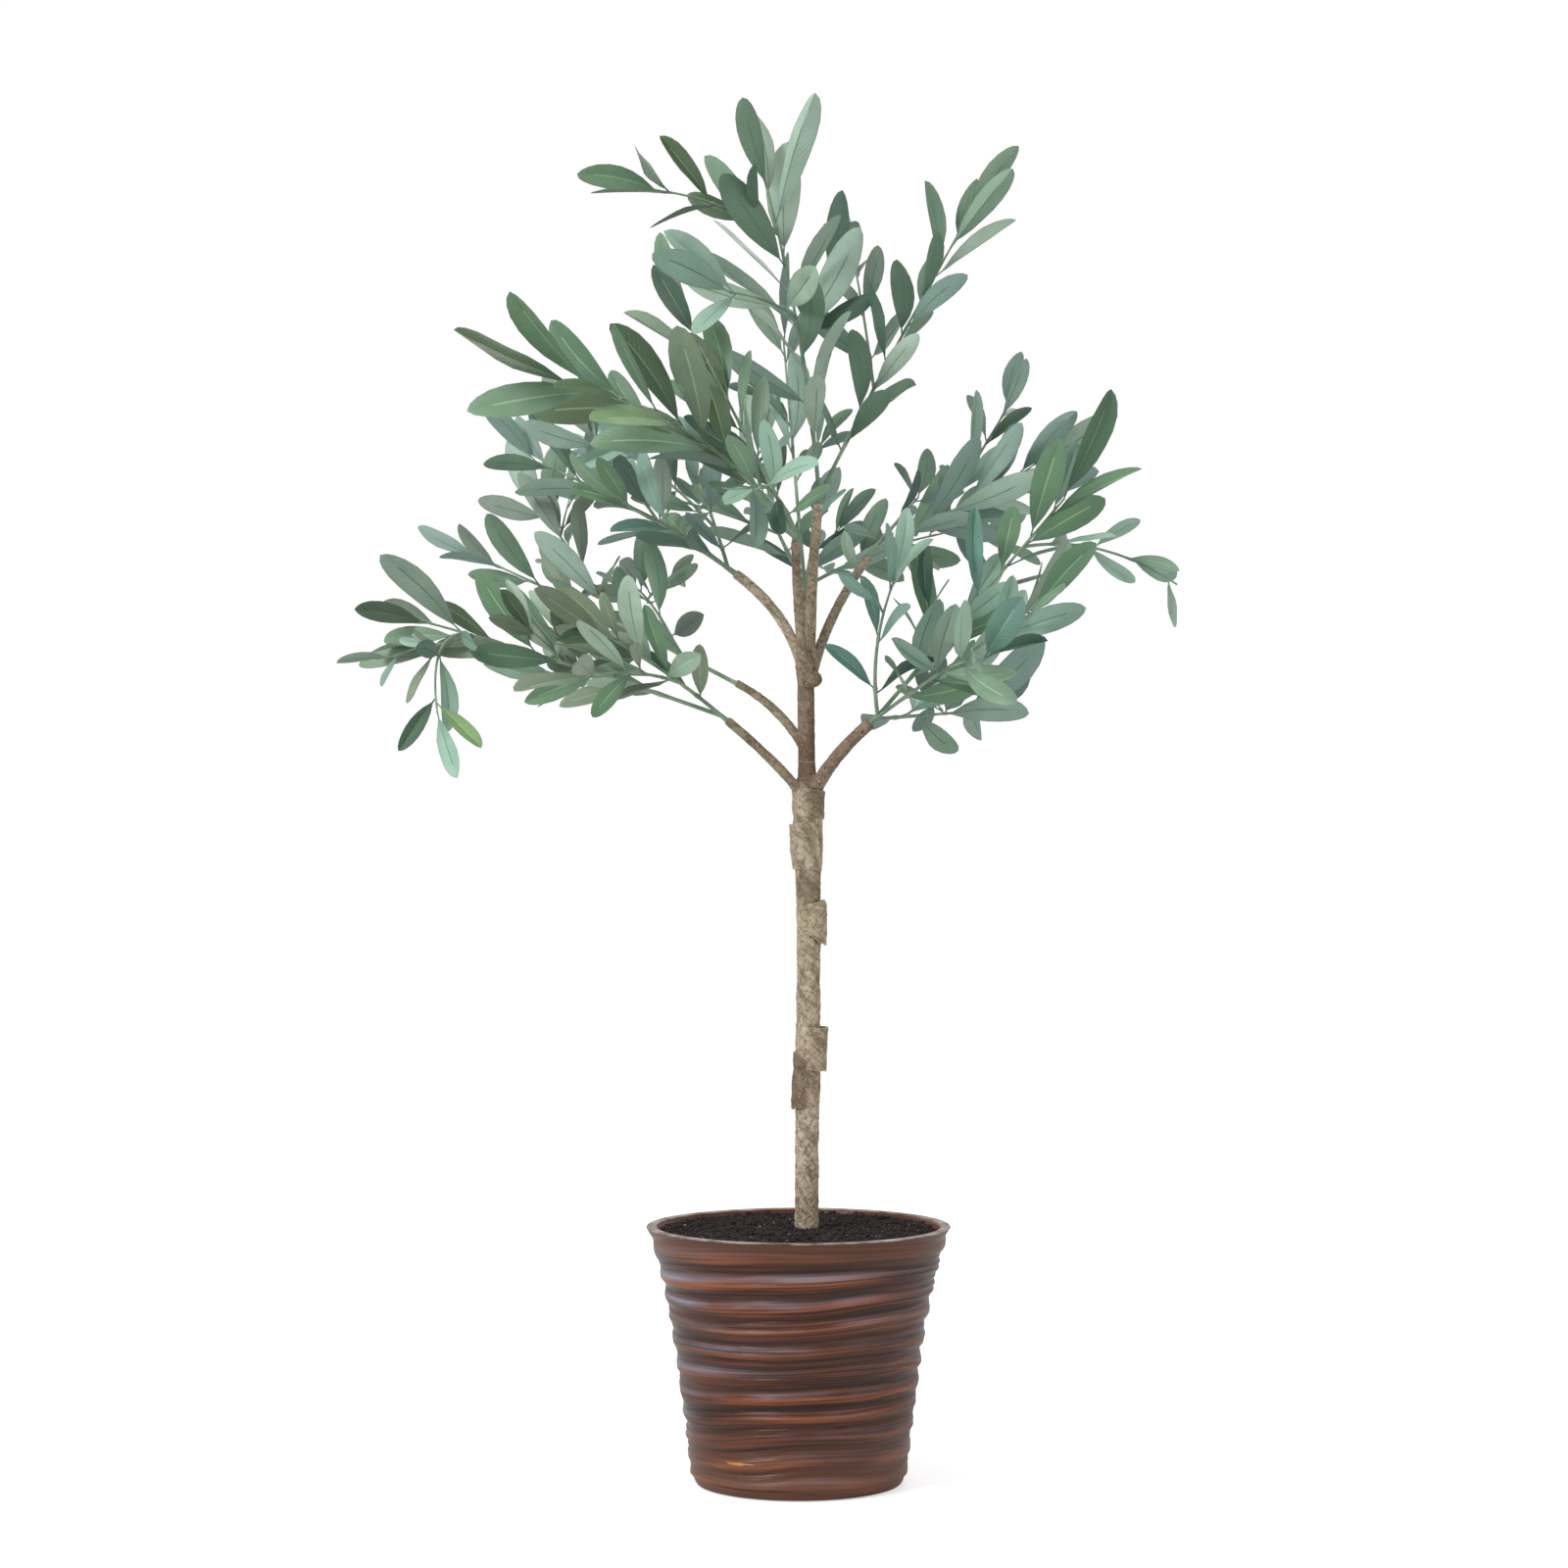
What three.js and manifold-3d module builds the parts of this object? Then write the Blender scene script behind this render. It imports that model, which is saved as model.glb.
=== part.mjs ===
// Potted artificial olive tree
// A ridged round pot filled with soil, a slim trunk that forks at two heights, eight boughs, and
// eight foliage masses, each one stem that branches from the tip of its bough.
// Millimetres, +Z up, +X to the right of the front view, +Y away from the viewer.
// The origin is the centre of the pot's flat underside.

import * as THREE from 'three';
import { mergeVertices } from 'three/addons/utils/BufferGeometryUtils.js';
import Module from 'manifold-3d';

const wasm = await Module();
wasm.setup();

// Clearances
const GAP = 0.3; // between neighbouring pieces
const MESH_TOLERANCE = 0.12; // the most that joined solids move as their slivers are merged

// Pot
const POT_HEIGHT = 222;
const POT_FOOT_RADIUS = 87; // flat disc that the pot stands on
const POT_WAIST_RADIUS = 93; // just above the rounded bottom edge
const POT_SPREAD = 26.4; // how much the wall widens evenly up to the rim
const POT_FLARE = 12.6; // how much more the rim turns out
const POT_FLARE_POWER = 4;
const POT_EDGE_ROUND = 8;
const POT_WALL = 9.5;
const POT_FLOOR = 12;
const POT_RIDGES = 13;
const RIDGE_DEPTH = 2.2;
const POT_SEGMENTS = 26;

// Soil
const SOIL_EDGE_HEIGHT = 215;
const SOIL_TOP = 219;
const SOIL_FLAT_RADIUS = 26; // level patch that the trunk stands on

// Trunk: height, radius and sideways shift of each step of its outline. The close pairs of steps
// are the edges of the wraps that stand out, to one side or the other
const TRUNK_X = 6.8;
const TRUNK_LEAN = -0.8;
const TRUNK_SWAY = 2.2;
const TRUNK_BASE = SOIL_TOP + GAP;
const TRUNK_STEPS = [
  [TRUNK_BASE, 10.4, 0], [315, 10.2, 0], [330, 11.5, -1.6], [350, 11.5, -1.6],
  [360, 12.2, 0.6], [391, 13.1, 2.4], [395, 10.4, 0.2], [450, 10.3, 0.2],
  [471, 12.4, 1.8], [500, 12.5, 2], [504, 10.8, 0.2], [531, 11.4, -0.2],
  [544, 12.7, -0.8], [565, 14, -0.8], [573, 13.2, 0], [588, 13.9, 0], [600, 12.2, 0],
  [609, 8.2, 0], [622, 7.4, 0], [690, 7.4, 0], [704, 9, 0], [717, 8.8, 0],
];
const TRUNK_SIDES = 10;
const STUB_SIDES = 8;
const KNOB = { height: 690, radius: 6.6, reach: 15, turn: -45 };
const BUD = { height: 610, radius: 2.6, reach: 8.5, turn: -35 };

// Boughs: foot inside the trunk, tip, how far the middle bows out, and the two end radii
const BOUGHS = {
  bough_lower_left: { foot: [6, -1, 590], tip: [-61, -40, 657], bow: [5, 0, -1], radii: [4.6, 3.8] },
  bough_lower_right: { foot: [10, -1, 590], tip: [61, -30, 655], bow: [-5, 0, 1], radii: [6.4, 5.4] },
  bough_middle_left: { foot: [6, 0, 632], tip: [-54, 45, 691], bow: [4, 0, 5], radii: [4.4, 3.6] },
  bough_leader: { foot: [10, 1, 700], tip: [17, 5, 845], bow: [-2, 0, 0], radii: [5, 4.4] },
  bough_upper_left: { foot: [4, 3, 700], tip: [-55, 20, 786], bow: [9, 0, 4], radii: [5, 4.3] },
  bough_centre_left: { foot: [4, -5, 704], tip: [-3, -40, 810], bow: [-1, -3, 0], radii: [4.5, 4] },
  bough_upper_right: { foot: [12, 2, 700], tip: [61, 40, 802], bow: [-6, 0, -1], radii: [4.8, 4] },
  bough_back: { foot: [7, 6, 700], tip: [6, 95, 773], bow: [0, -4, -3], radii: [4.6, 3.8] },
};
const BOUGH_STEPS = 6;
const BOUGH_SIDES = 8;

// Foliage: each stem has a place on an earlier stem (or on the hub at the bough's tip),
// the tip that it reaches, the bow of its middle, its leaf pairs and their mean length
const HUB = 'hub';
const FOLIAGE = [
  { name: 'foliage_leader', bough: 'bough_leader', seed: 21, stems: [
    { name: 'lead', on: HUB, at: 0.6, tip: [-32, 10, 1136], bow: [7, 0, 0], pairs: 8, size: 98 },
    { name: 'left', on: 'lead', at: 0.8, tip: [-117, -40, 1109], bow: [0, 0, 6], pairs: 3, size: 74 },
    { name: 'right', on: HUB, at: 0.6, tip: [147, 60, 1098], bow: [-4, 0, -3], pairs: 8, size: 76 },
    { name: 'inner', on: 'lead', at: 0.46, tip: [31, 70, 1045], bow: [0, 0, 0], pairs: 2, size: 80 },
    { name: 'rear', on: 'right', at: 0.4, tip: [52, 150, 1069], bow: [0, 0, 6], pairs: 3, size: 74 },
    { name: 'front', on: 'lead', at: 0.55, tip: [-58, -80, 1017], bow: [0, 0, 4], pairs: 2, size: 94 },
  ] },
  { name: 'foliage_centre_left', bough: 'bough_centre_left', seed: 9, stems: [
    { name: 'upper', on: HUB, at: 0.6, tip: [-95, -90, 994], bow: [0, 0, 0], pairs: 6, size: 78 },
    { name: 'outer', on: HUB, at: 0.5, tip: [-185, -150, 931], bow: [6, 0, 22], pairs: 7, size: 104 },
    { name: 'front', on: HUB, at: 0.8, tip: [-40, -215, 842], bow: [0, 0, 14], pairs: 4, size: 67 },
    { name: 'inner', on: 'outer', at: 0.4, tip: [-129, -40, 905], bow: [0, 0, 4], pairs: 2, size: 76 },
  ] },
  { name: 'foliage_upper_left', bough: 'bough_upper_left', seed: 414, stems: [
    { name: 'low', on: HUB, at: 0.6, tip: [-150, -36, 843], bow: [0, 0, 4], pairs: 3, size: 62 },
    { name: 'outer', on: HUB, at: 0.7, tip: [-234, 90, 890], bow: [0, 0, 6], pairs: 6, size: 76 },
    { name: 'middle', on: 'outer', at: 0.35, tip: [-179, 40, 903], bow: [0, 0, 4], pairs: 2, size: 62 },
    { name: 'high', on: HUB, at: 0.7, tip: [-89, 110, 872], bow: [0, 0, 4], pairs: 3, size: 62 },
    { name: 'rear', on: 'high', at: 0.4, tip: [-156, 190, 905], bow: [0, 0, 6], pairs: 4, size: 72 },
  ] },
  { name: 'foliage_middle_left', bough: 'bough_middle_left', seed: 149, stems: [
    { name: 'outer', on: HUB, at: 0.6, tip: [-284, 110, 805], bow: [0, 0, 2], pairs: 6, size: 67 },
    { name: 'upper', on: 'outer', at: 0.45, tip: [-232, 170, 850], bow: [0, 0, 2], pairs: 4, size: 78 },
    { name: 'rear', on: 'outer', at: 0.2, tip: [-148, 210, 783], bow: [0, 0, 6], pairs: 4, size: 71 },
  ] },
  { name: 'foliage_lower_left', bough: 'bough_lower_left', seed: 397, stems: [
    { name: 'outer', on: HUB, at: 0.6, tip: [-330, -60, 744], bow: [0, 0, 3], pairs: 8, size: 80 },
    { name: 'inner', on: HUB, at: 0.8, tip: [-160, -130, 725], bow: [0, 0, 4], pairs: 4, size: 69 },
    { name: 'hanging', on: 'outer', at: 0.8, tip: [-300, -130, 662], bow: [-12, 0, 20], pairs: 3, size: 63 },
    { name: 'front', on: 'inner', at: 0.35, tip: [-172, -190, 690], bow: [0, 0, 6], pairs: 3, size: 71 },
    { name: 'under', on: 'outer', at: 0.3, tip: [-219, 40, 700], bow: [0, 0, 2], pairs: 3, size: 67 },
  ] },
  { name: 'foliage_upper_right', bough: 'bough_upper_right', seed: 216, stems: [
    { name: 'outer', on: HUB, at: 0.6, tip: [203, 90, 882], bow: [0, 0, -2], pairs: 6, size: 78 },
    { name: 'upper', on: 'outer', at: 0.45, tip: [188, 140, 941], bow: [0, 0, 0], pairs: 4, size: 60 },
    { name: 'rear', on: HUB, at: 0.8, tip: [110, 180, 865], bow: [0, 0, 0], pairs: 3, size: 67 },
    { name: 'low', on: 'outer', at: 0.25, tip: [172, 200, 829], bow: [0, 0, 6], pairs: 3, size: 73 },
  ] },
  { name: 'foliage_lower_right', bough: 'bough_lower_right', seed: 60, stems: [
    { name: 'outer', on: HUB, at: 0.6, tip: [226, -50, 846], bow: [0, 0, 0], pairs: 7, size: 80 },
    { name: 'droop', on: 'outer', at: 0.78, tip: [328, 10, 776], bow: [0, 0, 14], pairs: 4, size: 60 },
    { name: 'front', on: HUB, at: 0.7, tip: [191, -150, 743], bow: [0, 0, 2], pairs: 5, size: 69 },
    { name: 'rear', on: HUB, at: 0.5, tip: [158, 110, 668], bow: [0, 0, 0], pairs: 4, size: 91 },
    { name: 'inner', on: HUB, at: 0.8, tip: [80, -110, 775], bow: [-8, 0, 0], pairs: 3, size: 63 },
    { name: 'under', on: 'front', at: 0.35, tip: [150, -190, 705], bow: [0, 0, 4], pairs: 3, size: 76 },
  ] },
  { name: 'foliage_back', bough: 'bough_back', seed: 26, stems: [
    { name: 'left', on: HUB, at: 0.6, tip: [-72, 240, 950], bow: [0, 0, 0], pairs: 5, size: 78 },
    { name: 'outer', on: 'left', at: 0.3, tip: [-160, 270, 879], bow: [0, 0, 4], pairs: 4, size: 78 },
    { name: 'right', on: HUB, at: 0.8, tip: [134, 260, 837], bow: [0, 0, 6], pairs: 5, size: 73 },
    { name: 'high', on: HUB, at: 0.7, tip: [-13, 190, 1008], bow: [0, 14, 0], pairs: 3, size: 76 },
    { name: 'rear', on: HUB, at: 0.4, tip: [20, 285, 850], bow: [0, 0, 6], pairs: 2, size: 76 },
  ] },
];

// Hub, stems and leaves
const HUB_LENGTH = 11;
const HUB_TAPER = 0.8;
const HUB_SIDES = 6;
const STEM_STEPS = 5;
const STEM_SIDES = 3;
const STEM_FOOT_RADIUS = 2.4;
const STEM_TIP_RADIUS = 1.5;
const STEM_BARE = 0.2; // share of a stem below its first leaf pair
const LEAF_RATIO = 0.3; // width to length
const LEAF_KEEL = 0.02; // thickness to length
const LEAF_FOOT_RADIUS = 0.6;
const LEAF_LOW = 0.38; // where the blade reaches its full width
const LEAF_HIGH = 0.72; // where it starts to narrow again
const SPLAY_LOW = 50; // degrees between a leaf and its stem near the foot
const SPLAY_HIGH = 28; // and near the tip
const TIP_SPLAY = 8; // degrees that the leaf at the very tip leans aside
const TIP_LEAF = 1.15; // its length, as a share of the stem's other leaves
const PAIR_TURN = 78; // degrees round the stem from one pair to the next
const PAIR_STAGGER = 0.03; // how far the second leaf of a pair sits below the first
const LEAF_LIFT = 0.12; // how much a leaf rises above its splay
const FACE_UP = 0.5; // how far the blades turn their upper face up
const FACE_OUT = 1.2; // and to the front or back of the crown
const ROLL_SPREAD = 96; // degrees of chance in how a blade lies

// Room that each mass leaves to its neighbours
const LEAF_REACH = 7;
const STEM_REACH = 3;
const OWN_SPACING = 11;
const LEAF_TESTS = [0.3, 0.48, 0.66, 0.84, 1];
const LEAF_TRIES = 8;
const CROWN = { left: -390, right: 347, front: -290, back: 350, bottom: 591, top: 1200 };

const degrees = THREE.MathUtils.degToRad;
const lerp = THREE.MathUtils.lerp;
const vector = (xyz) => new THREE.Vector3(...xyz);
const UP = new THREE.Vector3(0, 0, 1);

// A repeatable row of numbers between 0 and 1
function seededRandom(seed) {
  let state = seed;
  const next = () => {
    state = (state * 16807) % 2147483647;
    return state / 2147483647;
  };
  for (let warmUp = 0; warmUp < 5; warmUp += 1) next();
  return next;
}

// Solids and meshes

function toSolid(geometry) {
  const bare = geometry.clone();
  bare.deleteAttribute('normal');
  bare.deleteAttribute('uv');
  const merged = mergeVertices(bare, 1e-4);
  const vertProperties = Float32Array.from(merged.getAttribute('position').array);
  const triVerts = Uint32Array.from(merged.getIndex().array);
  return new wasm.Manifold(new wasm.Mesh({ numProp: 3, vertProperties, triVerts }));
}

// The largest body alone: loose scraps and sealed hollows drop out
function mainBody(solid) {
  return solid.decompose().reduce((best, piece) => (piece.volume() > best.volume() ? piece : best));
}

function toGeometry(solid) {
  const { vertProperties, triVerts } = mainBody(solid).simplify(MESH_TOLERANCE).getMesh();
  const geometry = new THREE.BufferGeometry();
  geometry.setAttribute('position', new THREE.BufferAttribute(vertProperties, 3));
  geometry.setIndex(new THREE.BufferAttribute(triVerts, 1));
  return geometry;
}

// A closed skin through rings that each have the same number of corners; it may end in a point
function ringGeometry(rings, point) {
  const sides = rings[0].length;
  const index = [];
  const corner = (ring, side) => ring * sides + (side % sides);
  for (let ring = 0; ring < rings.length - 1; ring += 1) {
    for (let side = 0; side < sides; side += 1) {
      index.push(corner(ring, side), corner(ring, side + 1), corner(ring + 1, side + 1));
      index.push(corner(ring, side), corner(ring + 1, side + 1), corner(ring + 1, side));
    }
  }
  const last = rings.length - 1;
  for (let side = 1; side < sides - 1; side += 1) {
    index.push(corner(0, 0), corner(0, side + 1), corner(0, side));
    if (!point) index.push(corner(last, 0), corner(last, side), corner(last, side + 1));
  }
  for (let side = 0; point && side < sides; side += 1) {
    index.push(corner(last, side), corner(last, side + 1), rings.length * sides);
  }
  const corners = point ? [...rings.flat(), point] : rings.flat();
  const geometry = new THREE.BufferGeometry().setFromPoints(corners);
  geometry.setIndex(index);
  return geometry;
}

// A round tapering limb along a row of points, with flat ends square to its first and last step
function limbGeometry(points, radii, sides) {
  const tangents = points.map((point, i) => {
    const before = points[Math.max(i - 1, 0)];
    const after = points[Math.min(i + 1, points.length - 1)];
    return after.clone().sub(before).normalize();
  });
  const first = Math.abs(tangents[0].z) > 0.9 ? new THREE.Vector3(1, 0, 0) : UP;
  let side = new THREE.Vector3().crossVectors(first, tangents[0]).normalize();
  const rings = points.map((point, i) => {
    side = side.clone().addScaledVector(tangents[i], -side.dot(tangents[i])).normalize();
    const other = new THREE.Vector3().crossVectors(tangents[i], side);
    return Array.from({ length: sides }, (_, k) => {
      const angle = (2 * Math.PI * k) / sides;
      return point.clone()
        .addScaledVector(side, radii[i] * Math.cos(angle))
        .addScaledVector(other, radii[i] * Math.sin(angle));
    });
  });
  return ringGeometry(rings);
}

// A curve between two points whose middle is pushed aside by the bow
function bowedCurve(start, end, bow) {
  const control = start.clone().lerp(end, 0.5).addScaledVector(bow, 2);
  return new THREE.QuadraticBezierCurve3(start, control, end);
}

function curveLimb(curve, radii, steps, sides, grow = 0) {
  const points = Array.from({ length: steps + 1 }, (_, i) => curve.getPoint(i / steps));
  const thick = points.map((_, i) => lerp(radii[0], radii[1], i / steps) + grow);
  return limbGeometry(points, thick, sides);
}

// Pot and soil

function potRadius(height) {
  const share = height / POT_HEIGHT;
  return POT_WAIST_RADIUS + POT_SPREAD * share + POT_FLARE * share ** POT_FLARE_POWER;
}

// The pot's smooth inner wall, one wall thickness inside the ridged outer one
function potInside(height) {
  return potRadius(height) - POT_WALL;
}

function turned(profile, segments) {
  const geometry = new THREE.LatheGeometry(profile.map(([r, z]) => new THREE.Vector2(r, z)), segments);
  return geometry.rotateX(Math.PI / 2);
}

function potGeometry() {
  const outer = [[0, 0], [POT_FOOT_RADIUS, 0]];
  outer.push([POT_WAIST_RADIUS - RIDGE_DEPTH, POT_EDGE_ROUND * 0.5]);
  const rise = (POT_HEIGHT - POT_EDGE_ROUND - 6) / POT_RIDGES;
  for (let ridge = 0; ridge < POT_RIDGES; ridge += 1) {
    const valley = POT_EDGE_ROUND + ridge * rise;
    const crest = valley + rise * 0.55;
    outer.push([potRadius(valley) - RIDGE_DEPTH, valley]);
    outer.push([potRadius(crest), crest]);
  }
  outer.push([potRadius(POT_HEIGHT - 3), POT_HEIGHT - 3]);
  outer.push([potRadius(POT_HEIGHT) - 1.5, POT_HEIGHT]);
  const inner = [[potInside(POT_HEIGHT) + 1, POT_HEIGHT]];
  for (const height of [190, 140, POT_FLOOR]) {
    inner.push([potInside(height), height]);
  }
  inner.push([0, POT_FLOOR]);
  return turned([...outer, ...inner], POT_SEGMENTS);
}

function soilGeometry() {
  const profile = [[0, POT_FLOOR + GAP]];
  for (const height of [POT_FLOOR + GAP, 140, 190, SOIL_EDGE_HEIGHT]) {
    profile.push([potInside(height) - 2 * GAP, height]);
  }
  const middle = (potInside(SOIL_EDGE_HEIGHT) + SOIL_FLAT_RADIUS) / 2;
  profile.push([middle, lerp(SOIL_EDGE_HEIGHT, SOIL_TOP, 0.65)]);
  profile.push([SOIL_FLAT_RADIUS, SOIL_TOP], [0, SOIL_TOP]);
  return turned(profile, POT_SEGMENTS);
}

// Trunk

function trunkCentre(height) {
  const share = (height - TRUNK_BASE) / (TRUNK_STEPS.at(-1)[0] - TRUNK_BASE);
  const sway = TRUNK_SWAY * Math.sin(Math.PI * share) ** 2;
  return new THREE.Vector3(TRUNK_X + TRUNK_LEAN * share + sway, -0.5 * sway, height);
}

function trunkRadius(height) {
  const above = TRUNK_STEPS.findIndex((step) => step[0] >= height);
  const [low, high] = [TRUNK_STEPS[Math.max(above - 1, 0)], TRUNK_STEPS[Math.max(above, 1)]];
  return lerp(low[1], high[1], (height - low[0]) / (high[0] - low[0]));
}

// The limb keeps level rings, because its steps are shifted sideways without leaning
function trunkLimb(grow = 0) {
  const rings = TRUNK_STEPS.map(([height, radius, aside]) => {
    const centre = trunkCentre(height);
    return Array.from({ length: TRUNK_SIDES }, (_, k) => {
      const angle = (2 * Math.PI * k) / TRUNK_SIDES;
      const reach = radius + grow;
      return centre.clone().add(new THREE.Vector3(aside + reach * Math.cos(angle), reach * Math.sin(angle), 0));
    });
  });
  rings[0].forEach((corner) => corner.setZ(TRUNK_BASE - grow));
  rings.at(-1).forEach((corner) => corner.setZ(TRUNK_STEPS.at(-1)[0] + grow));
  return ringGeometry(rings);
}

function stubGeometry({ height, radius, reach, turn }, grow = 0) {
  const aside = new THREE.Vector3(Math.cos(degrees(turn)), Math.sin(degrees(turn)), 0.2);
  const centre = trunkCentre(height);
  const steps = [0, reach - 0.4 * radius + grow, reach + grow];
  const points = steps.map((step) => centre.clone().addScaledVector(aside, step));
  return limbGeometry(points, [radius + grow, radius + grow, 0.7 * radius + grow], STUB_SIDES);
}

function trunkSolid() {
  return wasm.Manifold.union([trunkLimb(), stubGeometry(KNOB), stubGeometry(BUD)].map(toSolid));
}

// Boughs: each keeps a gap to the trunk and to the boughs that were placed before it

function boughCurve({ foot, tip, bow }) {
  return bowedCurve(vector(foot), vector(tip), vector(bow));
}

function boughSolids() {
  const blocks = [trunkLimb(2 * GAP), stubGeometry(KNOB, 2 * GAP), stubGeometry(BUD, 2 * GAP)].map(toSolid);
  const solids = {};
  for (const [name, bough] of Object.entries(BOUGHS)) {
    const curve = boughCurve(bough);
    let solid = toSolid(curveLimb(curve, bough.radii, BOUGH_STEPS, BOUGH_SIDES));
    for (const block of blocks) solid = solid.subtract(block);
    solids[name] = mainBody(solid);
    blocks.push(toSolid(curveLimb(curve, bough.radii, BOUGH_STEPS, BOUGH_SIDES, 1.5 * GAP)));
  }
  return solids;
}

// Room: the points that limbs, stems and leaves take up, each with its reach and its owner

const room = [];

function takeRoom(owner, kind, points, reaches) {
  points.forEach((point, i) => room.push({ owner, kind, point, reach: reaches[i] }));
}

function takeLimbRoom() {
  const top = TRUNK_STEPS.at(-1)[0];
  const heights = Array.from({ length: 90 }, (_, i) => lerp(TRUNK_BASE, top, i / 89));
  takeRoom('trunk', 'limb', heights.map(trunkCentre), heights.map(trunkRadius));
  for (const [name, bough] of Object.entries(BOUGHS)) {
    const shares = Array.from({ length: 31 }, (_, i) => i / 30);
    const points = shares.map((share) => boughCurve(bough).getPoint(share));
    takeRoom(name, 'limb', points, shares.map((share) => lerp(...bough.radii, share)));
  }
}

function isInCrown({ x, y, z }) {
  const across = x > CROWN.left && x < CROWN.right && y > CROWN.front && y < CROWN.back;
  return across && z > CROWN.bottom && z < CROWN.top;
}

function hasRoom(owner, stem, leaf) {
  return leaf.tests.every((test) => isInCrown(test) && room.every((taken) => {
    if (taken.owner === owner && taken.kind === stem) return true;
    const needed = taken.owner === owner ? OWN_SPACING : taken.reach + LEAF_REACH;
    return test.distanceToSquared(taken.point) > needed * needed;
  }));
}

// Stems

function hubCurve(bough) {
  const curve = boughCurve(bough);
  const along = curve.getTangent(1);
  const start = curve.getPoint(1).addScaledVector(along, GAP);
  return new THREE.LineCurve3(start, start.clone().addScaledVector(along, HUB_LENGTH));
}

function stemCurves(mass) {
  const curves = { [HUB]: hubCurve(BOUGHS[mass.bough]) };
  for (const stem of mass.stems) {
    const start = curves[stem.on].getPoint(stem.at);
    curves[stem.name] = bowedCurve(start, vector(stem.tip), vector(stem.bow));
  }
  return curves;
}

function takeStemRoom(mass) {
  const curves = stemCurves(mass);
  for (const { name } of mass.stems) {
    const points = Array.from({ length: 41 }, (_, i) => curves[name].getPoint(i / 40));
    takeRoom(mass.name, name, points, points.map(() => STEM_REACH));
  }
}

// Leaves

// One leaf: it leaves the stem at an angle, turned round it, with its upper face to the stem's tip
function placeLeaf(curve, share, turn, splay, size, random) {
  const foot = curve.getPoint(share);
  const tangent = curve.getTangent(share);
  const side = new THREE.Vector3().crossVectors(tangent, UP).normalize();
  const above = new THREE.Vector3().crossVectors(side, tangent);
  const roll = degrees(turn + 40 * (random() - 0.5));
  const lean = degrees(splay + 24 * (random() - 0.5));
  const outward = side.multiplyScalar(Math.cos(roll)).addScaledVector(above, Math.sin(roll));
  const along = tangent.clone().multiplyScalar(Math.cos(lean)).addScaledVector(outward, Math.sin(lean));
  along.z += LEAF_LIFT;
  along.normalize();
  const outside = new THREE.Vector3(0, foot.y < 0 ? -1 : 1, 0);
  const facing = tangent.clone().addScaledVector(UP, FACE_UP).addScaledVector(outside, FACE_OUT);
  const across = new THREE.Vector3().crossVectors(facing, along).normalize();
  across.applyAxisAngle(along, degrees(ROLL_SPREAD * (random() - 0.5)));
  const face = new THREE.Vector3().crossVectors(along, across);
  const length = size * (0.8 + 0.4 * random());
  const arch = length * (0.22 * random() - 0.04);
  const leaf = { foot, along, across, face, length, arch };
  leaf.tests = LEAF_TESTS.map((step) => leafMiddle(leaf, step));
  return leaf;
}

function leafMiddle(leaf, step) {
  return leaf.foot.clone()
    .addScaledVector(leaf.along, leaf.length * step)
    .addScaledVector(leaf.face, -leaf.arch * step * step);
}

function leafGeometry(leaf) {
  const half = (leaf.length * LEAF_RATIO) / 2;
  const keel = leaf.length * LEAF_KEEL;
  const ring = (step, width, top, under) => {
    const middle = leafMiddle(leaf, step);
    return [
      middle.clone().addScaledVector(leaf.across, width).addScaledVector(leaf.face, top),
      middle.clone().addScaledVector(leaf.across, -width).addScaledVector(leaf.face, top),
      middle.clone().addScaledVector(leaf.face, -under),
    ];
  };
  const foot = LEAF_FOOT_RADIUS;
  const rings = [
    ring(0, foot, 0.5 * foot, foot),
    ring(LEAF_LOW, half, 0, keel),
    ring(LEAF_HIGH, 0.92 * half, 0, keel),
  ];
  return ringGeometry(rings, leafMiddle(leaf, 1));
}

function leavesOfStem(mass, stem, curve, random) {
  const leaves = [];
  const grow = (share, turn, splay, size) => {
    for (let attempt = 0; attempt < LEAF_TRIES; attempt += 1) {
      const leaf = placeLeaf(curve, share, turn, splay, size, random);
      if (hasRoom(mass.name, stem.name, leaf)) {
        takeRoom(mass.name, 'leaf', leaf.tests, leaf.tests.map(() => LEAF_REACH));
        leaves.push(leaf);
        return;
      }
    }
  };
  grow(0.995, 90, TIP_SPLAY, stem.size * TIP_LEAF);
  for (let pair = stem.pairs - 1; pair >= 0; pair -= 1) {
    const share = lerp(STEM_BARE, 0.94, stem.pairs > 1 ? pair / (stem.pairs - 1) : 1);
    const splay = lerp(SPLAY_LOW, SPLAY_HIGH, share);
    const turn = PAIR_TURN * pair;
    grow(share, turn, splay, stem.size);
    grow(share - PAIR_STAGGER, turn + 180, splay, stem.size);
  }
  return leaves;
}

function foliageSolid(mass) {
  const random = seededRandom(mass.seed);
  const curves = stemCurves(mass);
  const hubRadius = BOUGHS[mass.bough].radii[1] * HUB_TAPER;
  const pieces = [curveLimb(curves[HUB], [hubRadius, 0.8 * hubRadius], 1, HUB_SIDES)];
  for (const stem of mass.stems) {
    const curve = curves[stem.name];
    const foot = stem.on === HUB ? STEM_FOOT_RADIUS : 0.75 * STEM_FOOT_RADIUS;
    pieces.push(curveLimb(curve, [foot, STEM_TIP_RADIUS], STEM_STEPS, STEM_SIDES));
    pieces.push(...leavesOfStem(mass, stem, curve, random).map(leafGeometry));
  }
  return wasm.Manifold.union(pieces.map(toSolid));
}

// Materials

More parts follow.
